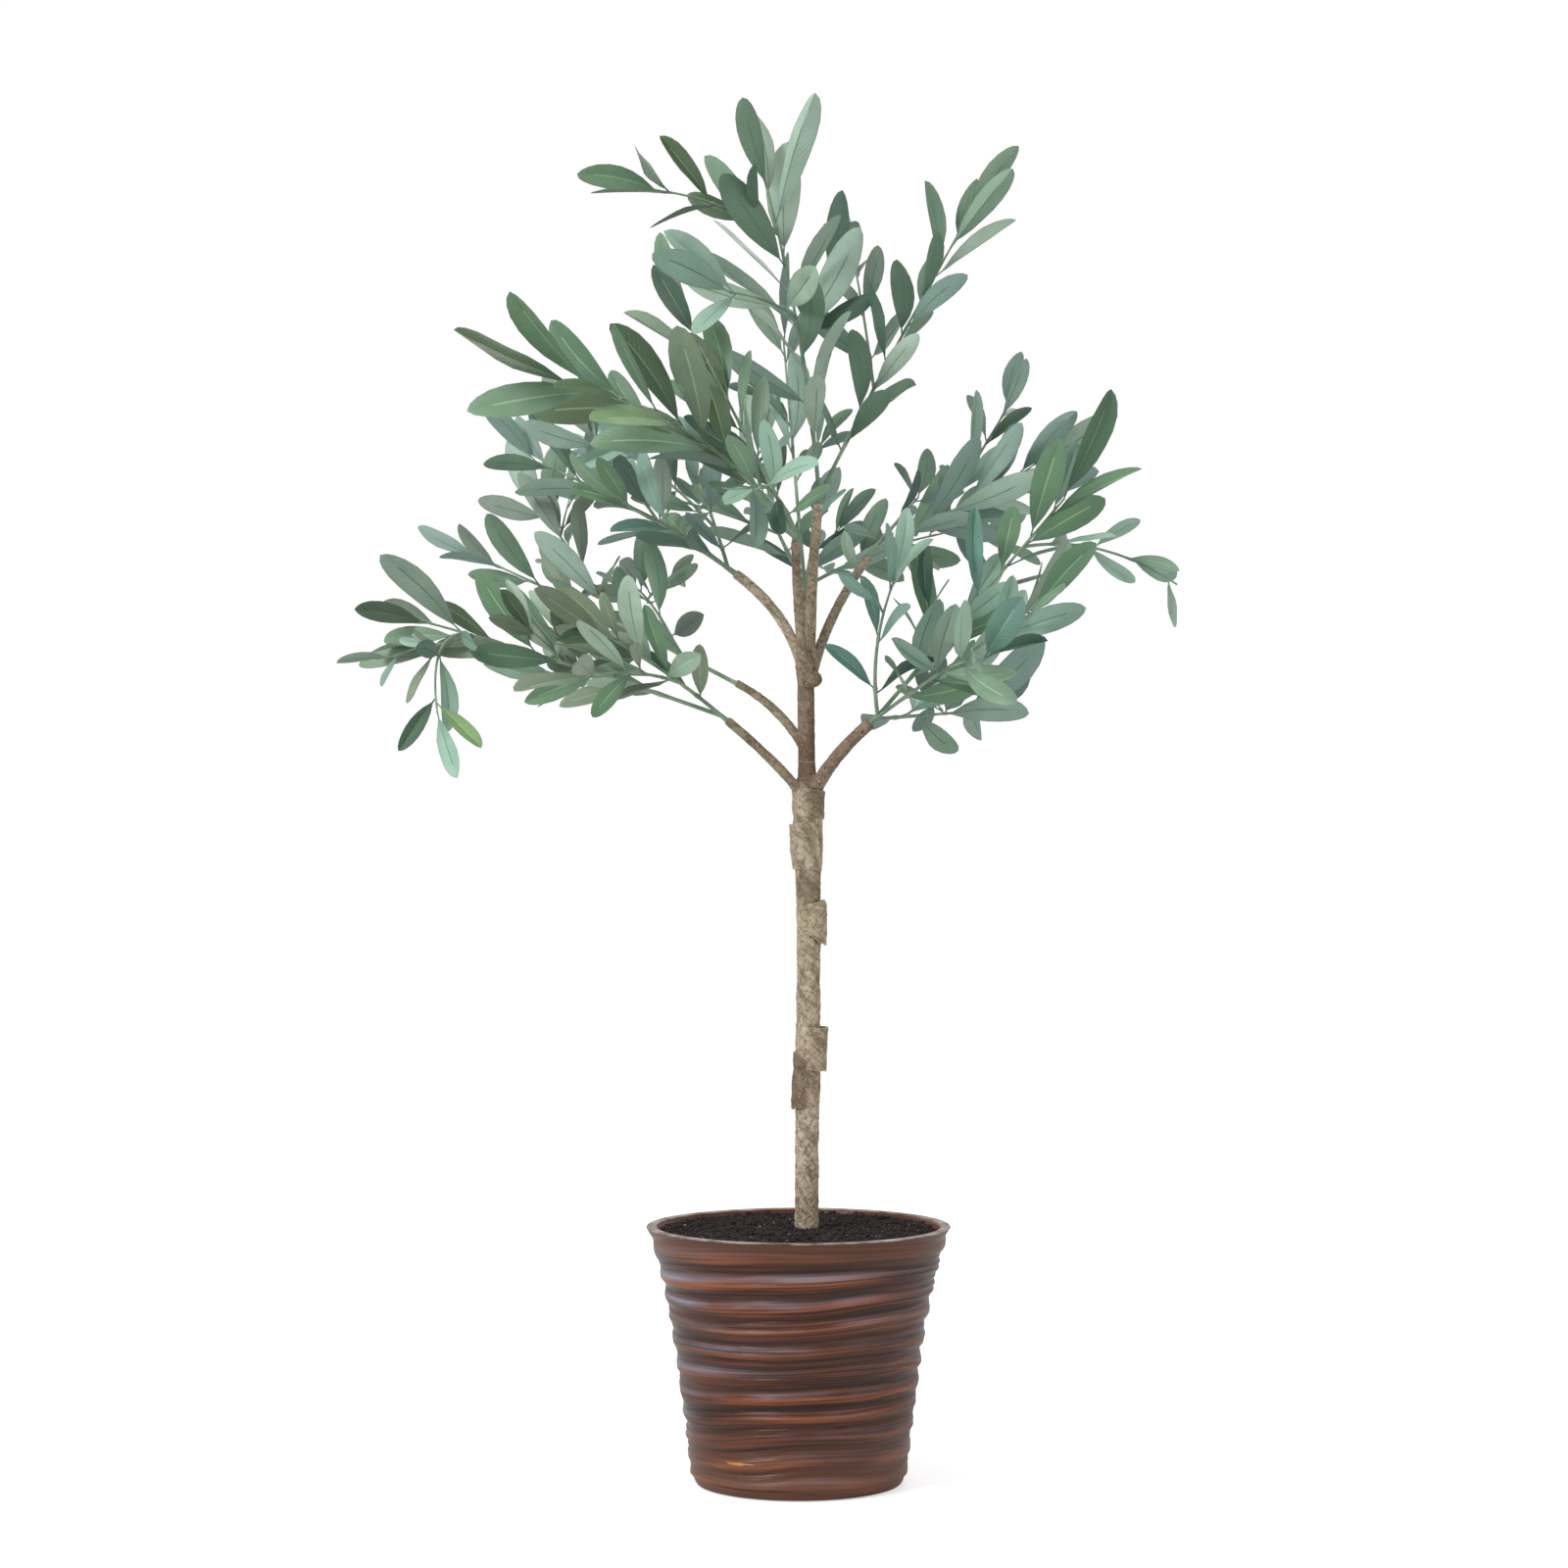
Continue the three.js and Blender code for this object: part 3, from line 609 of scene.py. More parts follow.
def lump():
    """The corners and faces of one small rounded lump."""
    shape = bmesh.new()
    bmesh.ops.create_icosphere(shape, subdivisions=1, radius=1)
    points = np.array([v.co[:] for v in shape.verts])
    faces = [[v.index for v in f.verts] for f in shape.faces]
    shape.free()
    return points, faces


def strew(count, small, large, rise):
    """Lumps from small to large, each this share of its size above the soil."""
    points, faces = lump()
    for _ in range(count):
        reach = soil_radius * math.sqrt(strewn.random()) * STREWN_OUT
        angle = strewn.random() * 2 * math.pi
        x, y = reach * math.cos(angle), reach * math.sin(angle)
        size = small + (large - small) * strewn.random() ** 3
        if math.hypot(x - TRUNK_X, y) < TRUNK_CLEAR + size or reach + size > soil_radius:
            continue
        rough = points * (size * (LUMP_LEAST + LUMP_SPREAD * strewn.random(points.shape)))
        yield rough + (x, y, soil_height(x, y) + rise * size), faces


def mesh_object(name, forms):
    """One object from many small forms, each given as points in millimetres and faces."""
    points, faces = [], []
    for form_points, form_faces in forms:
        faces += [[len(points) + corner for corner in face] for face in form_faces]
        points += list(form_points)
    mesh = bpy.data.meshes.new(name)
    mesh.from_pydata(np.array(points) * MM, [], faces)
    mesh.update()
    made = bpy.data.objects.new(name, mesh)
    scene.collection.objects.link(made)
    return made


crumbs = mesh_object("crumbs", strew(CRUMBS, 0.5, 2.4, 0.35))
perlite = mesh_object("perlite", strew(PERLITE, 0.4, 0.95, 0.9))
print("crumbs", len(crumbs.data.polygons), "perlite", len(perlite.data.polygons))

# %% [markdown]
# Damp potting mix is nearly black, and each crumb catches a little light. One rough finish with
# two clouds, a broad one and a fine one, does for soil and crumbs alike. The perlite gets its own.

# %% Soil finish
def make_soil():
    damp = Finish("soil", 0.95, 0.25)
    fine = damp.cloud(600, (1, 1, 1), 0.35, 0.65, 2)
    damp.body = damp.mix(damp.cloud(90, detail=4), "171312", "3A3231")
    damp.coat(fine, "554C4A", 0.4)
    return damp.done([(fine, 0.5)])


def make_perlite():
    specks = Finish("perlite", 0.9, 0.3)
    specks.body = specks.mix(specks.cloud(900, detail=2), "B9B4AC", "8F877E")
    return specks.done()


soil_finish = make_soil()
soil.data.materials.append(soil_finish)
crumbs.data.materials.append(soil_finish)
perlite.data.materials.append(make_perlite())
select_only(crumbs, perlite, soil)
bpy.ops.object.join()
hand_over(soil, ["soil"])

# %% [markdown]
# ## The trunk and boughs
#
# The real trunk is a rod wrapped in crepe paper bark: bands overlap at odd heights, with loose
# edges that stand out, and creases that run aslant. The boughs are thinner rods in the same
# paper. The trunk is a disc extruded up through its steps, each bough is a curve with a round
# bevel, and a voxel remesh then grows them together as one skin, with soft crotches.

# %% Trunk, step by step
TRUNK_LEAN = -0.8
TRUNK_SWAY = 2.2
TRUNK_BASE = SOIL_TOP + 0.3
# height and radius of the wrapped trunk
TRUNK_STEPS = [
    (TRUNK_BASE, 10.4), (315, 10.2), (330, 11.5), (350, 11.5), (360, 12.2), (391, 13.1), (395, 10.4),
    (450, 10.3), (471, 12.4), (500, 12.5), (504, 10.8), (531, 11.4), (544, 12.7), (565, 14), (573, 13.2),
    (588, 13.9), (600, 12.2), (609, 8.2), (622, 7.4), (690, 7.4), (704, 9), (717, 8.8),
]
TRUNK_TOP = TRUNK_STEPS[-1][0]
ROD_LOWER, ROD_UPPER = 10.5, 12.6
ROD_STEP_HEIGHT = 520


def trunk_centre(height):
    share = (height - TRUNK_BASE) / (TRUNK_TOP - TRUNK_BASE)
    sway = TRUNK_SWAY * math.sin(math.pi * share) ** 2
    return np.array([TRUNK_X + TRUNK_LEAN * share + sway, -0.5 * sway, height])


def trunk_radius(height):
    return float(np.interp(height, *zip(*TRUNK_STEPS)))


def rod_radius(height, radius):
    """The rod under the paper bands is slimmer than the outline of the wrapped trunk."""
    return min(radius, ROD_LOWER if height < ROD_STEP_HEIGHT else ROD_UPPER)


trunk = add_primitive(
    "trunk_rod", bpy.ops.mesh.primitive_circle_add, vertices=28, fill_type="NGON",
    radius=TRUNK_STEPS[0][1] * MM, location=Vector(trunk_centre(TRUNK_BASE)) * MM,
)
edit_all()
for (low, radius), (high, next_radius) in zip(TRUNK_STEPS, TRUNK_STEPS[1:]):
    step = Vector(trunk_centre(high) - trunk_centre(low)) * MM
    widen = rod_radius(high, next_radius) / rod_radius(low, radius)
    extrude(step, widen, Vector(trunk_centre(high)) * MM)
close_foot()
print("trunk", len(trunk.data.polygons), "faces")

# %% [markdown]
# A bough's centre line is one bowed curve: foot, tip, and how far the middle is pushed aside. The
# same curve later carries the stems, so it is kept as a small class, after the two turns that set
# the directions of leaves and twigs.

# %% Bowed curves
GAP = 0.3
UP = np.array([0.0, 0.0, 1.0])


def unit(vector):
    return vector / math.sqrt(vector @ vector)


def turned(first, second, angle):
    """The first direction, turned towards the second, which is square to it."""
    return first * math.cos(angle) + second * math.sin(angle)


def square_to(tangent, turn):
    """A direction square to a stem: level at no turn, and upwards at a quarter turn."""
    side = unit(np.cross(tangent, UP))
    return turned(side, np.cross(side, tangent), turn)


class Bow:
    def __init__(self, start, end, bow=(0, 0, 0)):
        self.start, self.end = np.array(start, float), np.array(end, float)
        self.control = (self.start + self.end) / 2 + 2 * np.array(bow, float)

    def point(self, share):
        rest = 1 - share
        return rest * rest * self.start + 2 * rest * share * self.control + share * share * self.end

    def points(self, count):
        """Points from the foot to the tip, with this many steps between them."""
        return [self.point(step / count) for step in range(count + 1)]

    def tangent(self, share):
        return unit(self.point(min(share + 1e-4, 1)) - self.point(max(share - 1e-4, 0)))


# foot, tip, bow of the middle, and the radius at the foot and at the tip
BOUGHS = {
    "bough_lower_left": ((6, -1, 590), (-61, -40, 657), (5, 0, -1), (4.6, 3.8)),
    "bough_lower_right": ((10, -1, 590), (61, -30, 655), (-5, 0, 1), (6.4, 5.4)),
    "bough_middle_left": ((6, 0, 632), (-54, 45, 691), (4, 0, 5), (4.4, 3.6)),
    "bough_leader": ((10, 1, 700), (17, 5, 845), (-2, 0, 0), (5, 4.4)),
    "bough_upper_left": ((4, 3, 700), (-55, 20, 786), (9, 0, 4), (5, 4.3)),
    "bough_centre_left": ((4, -5, 704), (-3, -40, 810), (-1, -3, 0), (4.5, 4)),
    "bough_upper_right": ((12, 2, 700), (61, 40, 802), (-6, 0, -1), (4.8, 4)),
    "bough_back": ((7, 6, 700), (6, 95, 773), (0, -4, -3), (4.6, 3.8)),
}
bough_curves = {name: Bow(foot, tip, bow) for name, (foot, tip, bow, _) in BOUGHS.items()}
print("boughs", len(bough_curves))

# %% [markdown]
# A bough could be extruded like the trunk, but a Bezier curve needs only two points, and its bevel
# makes it round and lets it taper. Below the upper fork a cut knob sticks out of the trunk, and a
# small bud above the lower one.

# %% Boughs, knob and bud, grown together
KNOB = {"height": 690, "radius": 7.2, "reach": 11, "turn": -50, "rise": 0.3}
BUD = {"height": 610, "radius": 2.6, "reach": 8.5, "turn": -35, "rise": 0.2}
SKIN_VOXEL = 1.05


def round_limb(name, curve, radii):
    """A Bezier curve with a round bevel that tapers, made a mesh."""
    limb = add_primitive(name, bpy.ops.curve.primitive_bezier_curve_add)
    limb.data.bevel_depth = MM
    limb.data.bevel_resolution = 5
    limb.data.resolution_u = 16
    limb.data.use_fill_caps = True
    foot, tip = limb.data.splines[0].bezier_points
    for end, place, radius, side in ((foot, curve.start, radii[0], 1), (tip, curve.end, radii[1], -1)):
        arm = (curve.control - place) * 2 / 3 * side
        end.handle_left_type = end.handle_right_type = "FREE"
        end.co = Vector(place) * MM
        end.handle_left = Vector(place - arm) * MM
        end.handle_right = Vector(place + arm) * MM
        end.radius = radius
    bpy.ops.object.convert(target="MESH")
    return limb


def sticking_out(height, radius, reach, turn, rise):
    """The line from the trunk's middle to the tip of a thing that sticks out of it."""
    centre, angle = trunk_centre(height), math.radians(turn)
    return Bow(centre, centre + np.array([math.cos(angle), math.sin(angle), rise]) * reach)


limbs = [round_limb(name, bough_curves[name], BOUGHS[name][3]) for name in BOUGHS]
limbs.append(add_primitive(
    "knob", bpy.ops.mesh.primitive_uv_sphere_add, segments=20, ring_count=12,
    radius=KNOB["radius"] * MM, location=Vector(sticking_out(**KNOB).end) * MM,
))
limbs.append(round_limb("bud", sticking_out(**BUD), (BUD["radius"], 0.8 * BUD["radius"])))
select_only(*limbs, trunk)
bpy.ops.object.join()
bark = bpy.context.object
bark.name = "bark"
bark.data.remesh_voxel_size = SKIN_VOXEL * MM
bpy.ops.object.voxel_remesh()
smooth = bark.modifiers.new("soften", "SMOOTH")
smooth.factor, smooth.iterations = 0.5, 3
bpy.ops.object.modifier_apply(modifier=smooth.name)
print("bark skin", len(bark.data.polygons), "faces")

# %% [markdown]
# The creases are pressed in along the skin's normals. Paper wound round a rod wrinkles aslant, so
# the cloud pattern is wound too: its place turns with the height, once to each hand. The depth is
# stored as well, so that the folds can be painted darker, as painted shade.

# %% Creases in the paper bark
WINDING = 62  # how far the wrinkles turn, in radians for each metre of height
FOLD_DEPTH = 0.9
FORK_HEIGHT = 0.6
UPPER_CREASES = 0.45  # above the fork the paper is smoother
# each kind of wrinkle: its hand, how many go round, how short it is, and its share of the depth
WRINKLES = ((1, 1.7, 32, 0.5), (-0.7, 2.6, 32, 0.36), (1.1, 4.6, 95, 0.42), (-0.9, 6, 120, 0.3))
WANDER = 1.6  # how far, in radians, a wrinkle leaves its winding
RIDGE_OUT, FOLD_IN = 0.42, 2.2
# each kind of dent: its share of the depth, and how many go across a metre and along it
DENTS = ((0.4, 50, 30), (0.26, 260, 190))


def crease_depth(place):
    """Millimetres out from the skin at a place in metres."""
    x, y, z = place
    angle = math.atan2(y, x - TRUNK_X * MM)
    wander = WANDER * noise.noise(Vector((x * 30, y * 30, z * 19)))
    depth = 0
    for hand, coarse, rise, share in WRINKLES:
        wound = angle + hand * (WINDING * z + wander)
        around = coarse * math.cos(wound), coarse * math.sin(wound)
        cloud = noise.noise(Vector((*around, z * rise + 5 * hand)))
        depth += share * (RIDGE_OUT - FOLD_IN * abs(cloud))
    for share, across, along in DENTS:
        depth += share * noise.noise(Vector((x * across, y * across, z * along)))
    return depth


def fold_share(depth):
    """0 in the deepest fold and 1 on the highest."""
    return (depth + FOLD_DEPTH) / (2 * FOLD_DEPTH)


places = corner_places(bark)
outward = np.array([v.normal[:] for v in bark.data.vertices])
depths = np.array([crease_depth(place) for place in places])
strength = np.where(places[:, 2] < FORK_HEIGHT, 1.0, UPPER_CREASES)
moved = places + outward * (depths * strength * MM)[:, None]
moved[:, 2] = np.maximum(moved[:, 2], TRUNK_BASE * MM)
place_corners(bark, moved)
print("creases from", round(depths.min(), 2), "to", round(depths.max(), 2), "mm")

# %% [markdown]
# The paper isn't one brown: the boughs differ, the upper trunk is darkest, and a patch under the
# paper bands is stained. A painted mask would need an image, so each corner stores how brown it
# is, taken from the nearest limbs and blended where they meet.

# %% Brown stains
LIMB_STAINS = {
    "bough_lower_left": 0.45, "bough_lower_right": 0.75, "bough_middle_left": 0.6, "bough_leader": 0,
    "bough_upper_left": 0, "bough_centre_left": 0.5, "bough_upper_right": 0.3, "bough_back": 0.5,
}
UPPER_STAINS = {600: 1, 680: 0.95, 716: 0.2}  # between the forks, by height
LIMB_SPOTS, FORK_SPOTS = 24, 4  # spots along a limb, and how many of them are lost in the fork
PATCH_HEIGHT, PATCH_REACH, PATCH_STAIN = 514, 14, 0.85
STAIN_FROM, STAIN_BLEND = 566, 34  # the limbs' stains start here, and are full this far up


def stains_at(places):
    heights = range(min(UPPER_STAINS), max(UPPER_STAINS), 4)
    spots = [trunk_centre(height) for height in heights]
    shades = list(np.interp(heights, list(UPPER_STAINS), list(UPPER_STAINS.values())))
    for name, shade in LIMB_STAINS.items():
        along = bough_curves[name].points(LIMB_SPOTS)[FORK_SPOTS:]
        spots += along
        shades += [shade] * len(along)
    apart = ((places[:, None, :] / MM - np.array(spots)[None]) ** 2).sum(axis=2)
    weight = 1 / (apart + 4) ** 2
    limb = (weight * np.array(shades)).sum(axis=1) / weight.sum(axis=1)
    x, y, z = (places / MM).T
    patch = np.clip(1.3 - np.abs(z - PATCH_HEIGHT) / PATCH_REACH, 0, 1)
    patch *= np.clip((x + 2 - 0.5 * y) / 8, 0, 1)
    above = np.clip((z - STAIN_FROM) / STAIN_BLEND, 0, 1)
    return np.clip(PATCH_STAIN * patch + limb * above, 0, 1)


number_corners(bark, fold=fold_share(depths), stain=stains_at(places), rim=0)
bpy.ops.object.shade_smooth()
print("stained limbs", len(LIMB_STAINS))

# %% [markdown]
# The paper bands overlap: at a few heights one ends in a slanting edge that stands some
# millimetres off the trunk. Each band is a tube cut aslant by two bisect planes, pulled out to one
# side, and given the paper's thickness. Its cut edges are stored too, because they show pale.

# %% Loose bands of bark paper
# its low and high edge on the left and on the right, the side on which it stands out, how far it
# stands out at its low and its high edge, how brown it is, how round its corner is, how pale its
# low edge is all round, and the seed of its torn edges
BANDS = {
    "band_left_low": ((322, 328), (372, 356), -1, (2.2, 0.8), 0.9, 0.3, 0, 13),
    "band_right_low": ((360, 355), (395, 393), 1, (4.4, 5.6), 0.2, 0.0, 0.8, 12),
    "band_right_mid": ((484, 464), (496, 503), 1, (3.6, 5.0), 0.0, 0.6, 0, 11),
    "band_upper": ((530, 528), (568, 575), -1, (0.4, 2.4), 0.15, 0.2, 0.3, 11),
    "band_collar": ((577, 572), (601, 597), 1, (0.6, 1.4), 0.75, 0.2, 0, 13),
}
BAND_RADIUS = 12
BAND_SPARE = 4  # how much longer the tube is than the band, at each end
BAND_SLICE = 1.5


def cut_tube(name, low_edge, high_edge):
    """A tube in fine slices round the trunk's middle, cut aslant at both ends."""
    low, high = min(low_edge) - BAND_SPARE, max(high_edge) + BAND_SPARE
    middle = trunk_centre((low + high) / 2)
    band = add_primitive(
        name, bpy.ops.mesh.primitive_cylinder_add, vertices=96, radius=BAND_RADIUS * MM,
        depth=(high - low) * MM, end_fill_type="NOTHING", location=Vector(middle) * MM,
    )
    edit_all()
    for number in range(1, int((high - low) / BAND_SLICE)):
        bpy.ops.mesh.select_all(action="SELECT")
        bpy.ops.mesh.bisect(plane_co=(0, 0, (low + number * BAND_SLICE) * MM), plane_no=(0, 0, 1))
    for edge, is_low in ((low_edge, True), (high_edge, False)):
        slope = (edge[1] - edge[0]) / (2 * BAND_RADIUS)
        bpy.ops.mesh.select_all(action="SELECT")
        bpy.ops.mesh.bisect(
            plane_co=(middle[0] * MM, 0, sum(edge) / 2 * MM), plane_no=(-slope, 0, 1),
            clear_inner=is_low, clear_outer=not is_low,
        )
    bpy.ops.object.mode_set(mode="OBJECT")
    return band, middle


print("bands", len(BANDS), "on a tube of", BAND_RADIUS, "mm")

# %% [markdown]
# Each corner of a tube is then set on the trunk's skin, with its creases, and further out on the
# side where the band stands loose. The Solidify modifier gives the paper its thickness inwards.

# %% Wrapping the bands round the trunk
PAPER = 1.0
BAND_CLEAR = 0.4  # between the trunk's skin and the paper
EDGE_RIM = 0.4  # how far the pale rim reaches in from a cut edge
LOOSE_TURN, LOOSE_POWER = 0.25, 1.5  # where a loose side points, and how narrow it is
TEAR = (1.3, 2.2, 0.02)  # how far a cut edge is torn, how coarsely, and its change with height


def paper_band(name, low_edge, high_edge, side, standing, stain, rounding, pale, seed):
    band, middle = cut_tube(name, low_edge, high_edge)
    rims, folds, stains = [], [], []

    def wrap_round(corner):
        across, height = corner.x / MM - middle[0], corner.z / MM
        centre = trunk_centre(height)
        angle = math.atan2(corner.y / MM - middle[1], across)
        edges = (low_edge, high_edge)
        lowest, highest = (np.interp(across, (-BAND_RADIUS, BAND_RADIUS), edge) for edge in edges)
        share = clip((height - lowest) / (highest - lowest))
        facing = max(0, side * math.cos(angle + LOOSE_TURN * side)) ** LOOSE_POWER
        rim = max(0.6 * facing, pale) if height - lowest < EDGE_RIM else 0
        rims.append(0.5 * facing if highest - height < EDGE_RIM else rim)
        facing *= 1 - rounding * max(0, (share - 0.8) / 0.2) ** 2
        reach = rod_radius(height, trunk_radius(height))
        skin = centre + np.array([reach * math.cos(angle), reach * math.sin(angle), 0])
        crease = crease_depth(skin * MM)
        folds.append(fold_share(crease))
        stains.append(stain * clip(0.55 + 1.6 * side * math.cos(angle)))
        loose = facing * (standing[0] + (standing[1] - standing[0]) * share)
        reach += BAND_CLEAR + crease + min(1, 2 * facing) + loose
        strength, coarse, along = TEAR
        torn = drifting(angle, height, strength, seed, coarse, along) * abs(2 * share - 1) ** 3
        x, y = centre[0] + reach * math.cos(angle), centre[1] + reach * math.sin(angle)
        return Vector((x, y, height + torn)) * MM

    move_corners(band, wrap_round)
    number_corners(band, fold=folds, stain=stains, rim=rims)
    paper = band.modifiers.new("paper", "SOLIDIFY")
    paper.thickness, paper.offset = PAPER * MM, -1
    bpy.ops.object.modifier_apply(modifier=paper.name)
    smooth_by_angle(band, 40)
    print(name, len(band.data.polygons), "faces")
    return band


bands = [paper_band(name, *values) for name, values in BANDS.items()]

# %% [markdown]
# Two thin rings close the wrap, above the lower fork and under the upper one. On the real tree
# each is one narrow roll of the same paper, so a torus is enough.

# %% Thin rings at the forks
SEAMS = {"seam_fork": (622, 7.6, 5), "seam_crown": (705, 9.2, -4)}  # height, radius, tilt in degrees
SEAM_THICKNESS = 0.45


def seam_ring(name, height, radius, tilt):
    ring = add_primitive(
        name, bpy.ops.mesh.primitive_torus_add, major_segments=40, minor_segments=8,
        major_radius=radius * MM, minor_radius=SEAM_THICKNESS * MM,
        location=Vector(trunk_centre(height)) * MM, rotation=(0, math.radians(tilt), 0),
    )
    bpy.ops.object.shade_smooth()
    number_corners(ring, fold=0.6, stain=0.6, rim=0.3)
    return ring


bands += [seam_ring(name, *values) for name, values in SEAMS.items()]
print("bands and rings", len(bands))

# %% [markdown]
# The paper is dull and beige, yellower here and rosier there, printed with streaks and freckled
# with pale specks and dark pits. Fine lines cross it where the crepe was crushed. All of it comes
# from clouds, coat over coat, with painted shade in the stored folds and the stains and rims between.

# %% Bark finish
def make_bark():
    paper = Finish("bark_paper", 0.75, 0.3)
    streaks = paper.cloud(60, (1, 1, 0.3), 0.32, 0.68, 4)
    yellow = paper.cloud(26, (1, 1, 1), 0.35, 0.65)
    rosy = paper.cloud(17, (1, 1, 0.8), 0.42, 0.58, 2)
    crepe = paper.cloud(150, (1, 1, 2.6), turn=0.7)
    crossing = paper.cloud(70, (1, 1, 2.2), 0, 1, turn=-0.6)
    lines = paper.spread(paper.maths("ABSOLUTE", paper.maths("SUBTRACT", crossing, 0.5)), 0, 0.035)
    specks = paper.cloud(460, (1, 1, 1), 0.66, 0.71, 2)
    pits = paper.cloud(260, (1, 1, 1), 0.29, 0.27, 1)
    fold, stain, rim = (paper.number(name) for name in ("fold", "stain", "rim"))
    paper.body = paper.mix(streaks, "C1B497", "EBE0C6")
    paper.coat(yellow, "AC9A7B", 0.35)
    paper.coat(rosy, "C7A898", 0.42)
    # painted shade: the folds of the creases are darker
    paper.coat(paper.spread(fold, 0.1, 0.55, 1, 0), "75664E", 0.62)
    paper.coat(crepe, "6F604A", 0.34)
    paper.coat(paper.times(stain, paper.spread(yellow, 0, 1, 0.7, 0.95)), "67513F")
    paper.coat(paper.spread(lines, 0, 1, 1, 0), "5C4B3A", 0.55)
    paper.coat(paper.maths("MAXIMUM", paper.times(specks, 0.6), rim), "D8CFB8", 0.8)
    paper.coat(pits, "2E2620", 0.7)
    return paper.done([(crepe, 0.5), (lines, 0.5), (streaks, 0.5), (specks, 0.3)])


bark_finish = make_bark()
for piece in (*bands, bark):
    piece.data.materials.clear()
    piece.data.materials.append(bark_finish)
select_only(*bands, bark)
bpy.ops.object.join()
hand_over(bark, ["trunk", *BOUGHS])

# %% [markdown]
# ## The crown
#
# Eight foliage masses grow from the bough tips. Each is one stem that branches: every branch has
# a place on an earlier one and a tip that it reaches, and leaves sit on it in crossed pairs. The
# rule is the same as in the CAD source, number by number, so the leaves stand where the solids
# have them. Afterwards finer twigs with smaller leaves fill in between.

# %% Stems of the eight masses
# each mass: its bough, its seed, and its stems; each stem: name, the stem that it grows on, its
# place there, its tip, the bow of its middle, leaf pairs, leaf length
FOLIAGE = {
    "foliage_leader": ("bough_leader", 21, [
        ("lead", "hub", 0.6, (-32, 10, 1136), (7, 0, 0), 8, 98),
        ("left", "lead", 0.8, (-117, -40, 1109), (0, 0, 6), 3, 74),
        ("right", "hub", 0.6, (147, 60, 1098), (-4, 0, -3), 8, 76),
        ("inner", "lead", 0.46, (31, 70, 1045), (0, 0, 0), 2, 80),
        ("rear", "right", 0.4, (52, 150, 1069), (0, 0, 6), 3, 74),
        ("front", "lead", 0.55, (-58, -80, 1017), (0, 0, 4), 2, 94),
    ]),
    "foliage_centre_left": ("bough_centre_left", 9, [
        ("upper", "hub", 0.6, (-95, -90, 994), (0, 0, 0), 6, 78),
        ("outer", "hub", 0.5, (-185, -150, 931), (6, 0, 22), 7, 104),
        ("front", "hub", 0.8, (-40, -215, 842), (0, 0, 14), 4, 67),
        ("inner", "outer", 0.4, (-129, -40, 905), (0, 0, 4), 2, 76),
    ]),
    "foliage_upper_left": ("bough_upper_left", 414, [
        ("low", "hub", 0.6, (-150, -36, 843), (0, 0, 4), 3, 62),
        ("outer", "hub", 0.7, (-234, 90, 890), (0, 0, 6), 6, 76),
        ("middle", "outer", 0.35, (-179, 40, 903), (0, 0, 4), 2, 62),
        ("high", "hub", 0.7, (-89, 110, 872), (0, 0, 4), 3, 62),
        ("rear", "high", 0.4, (-156, 190, 905), (0, 0, 6), 4, 72),
    ]),
    "foliage_middle_left": ("bough_middle_left", 149, [
        ("outer", "hub", 0.6, (-284, 110, 805), (0, 0, 2), 6, 67),
        ("upper", "outer", 0.45, (-232, 170, 850), (0, 0, 2), 4, 78),
        ("rear", "outer", 0.2, (-148, 210, 783), (0, 0, 6), 4, 71),
    ]),
    "foliage_lower_left": ("bough_lower_left", 397, [
        ("outer", "hub", 0.6, (-330, -60, 744), (0, 0, 3), 8, 80),
        ("inner", "hub", 0.8, (-160, -130, 725), (0, 0, 4), 4, 69),
        ("hanging", "outer", 0.8, (-300, -130, 662), (-12, 0, 20), 3, 63),
        ("front", "inner", 0.35, (-172, -190, 690), (0, 0, 6), 3, 71),
        ("under", "outer", 0.3, (-219, 40, 700), (0, 0, 2), 3, 67),
    ]),
    "foliage_upper_right": ("bough_upper_right", 216, [
        ("outer", "hub", 0.6, (203, 90, 882), (0, 0, -2), 6, 78),
        ("upper", "outer", 0.45, (188, 140, 941), (0, 0, 0), 4, 60),
        ("rear", "hub", 0.8, (110, 180, 865), (0, 0, 0), 3, 67),
        ("low", "outer", 0.25, (172, 200, 829), (0, 0, 6), 3, 73),
    ]),
    "foliage_lower_right": ("bough_lower_right", 60, [
        ("outer", "hub", 0.6, (226, -50, 846), (0, 0, 0), 7, 80),
        ("droop", "outer", 0.78, (328, 10, 776), (0, 0, 14), 4, 60),
        ("front", "hub", 0.7, (191, -150, 743), (0, 0, 2), 5, 69),
        ("rear", "hub", 0.5, (158, 110, 668), (0, 0, 0), 4, 91),
        ("inner", "hub", 0.8, (80, -110, 775), (-8, 0, 0), 3, 63),
        ("under", "front", 0.35, (150, -190, 705), (0, 0, 4), 3, 76),
    ]),
    "foliage_back": ("bough_back", 26, [
        ("left", "hub", 0.6, (-72, 240, 950), (0, 0, 0), 5, 78),
        ("outer", "left", 0.3, (-160, 270, 879), (0, 0, 4), 4, 78),
        ("right", "hub", 0.8, (134, 260, 837), (0, 0, 6), 5, 73),
        ("high", "hub", 0.7, (-13, 190, 1008), (0, 14, 0), 3, 76),
        ("rear", "hub", 0.4, (20, 285, 850), (0, 0, 6), 2, 76),
    ]),
}
HUB_LENGTH = 11


def stem_curves(mass):
    bough, _, stems = FOLIAGE[mass]
    along = bough_curves[bough].tangent(1)
    start = bough_curves[bough].point(1) + along * GAP
    curves = {"hub": Bow(start, start + along * HUB_LENGTH)}
    for name, on, at, tip, bow, _, _ in stems:
        curves[name] = Bow(curves[on].point(at), tip, bow)
    return curves


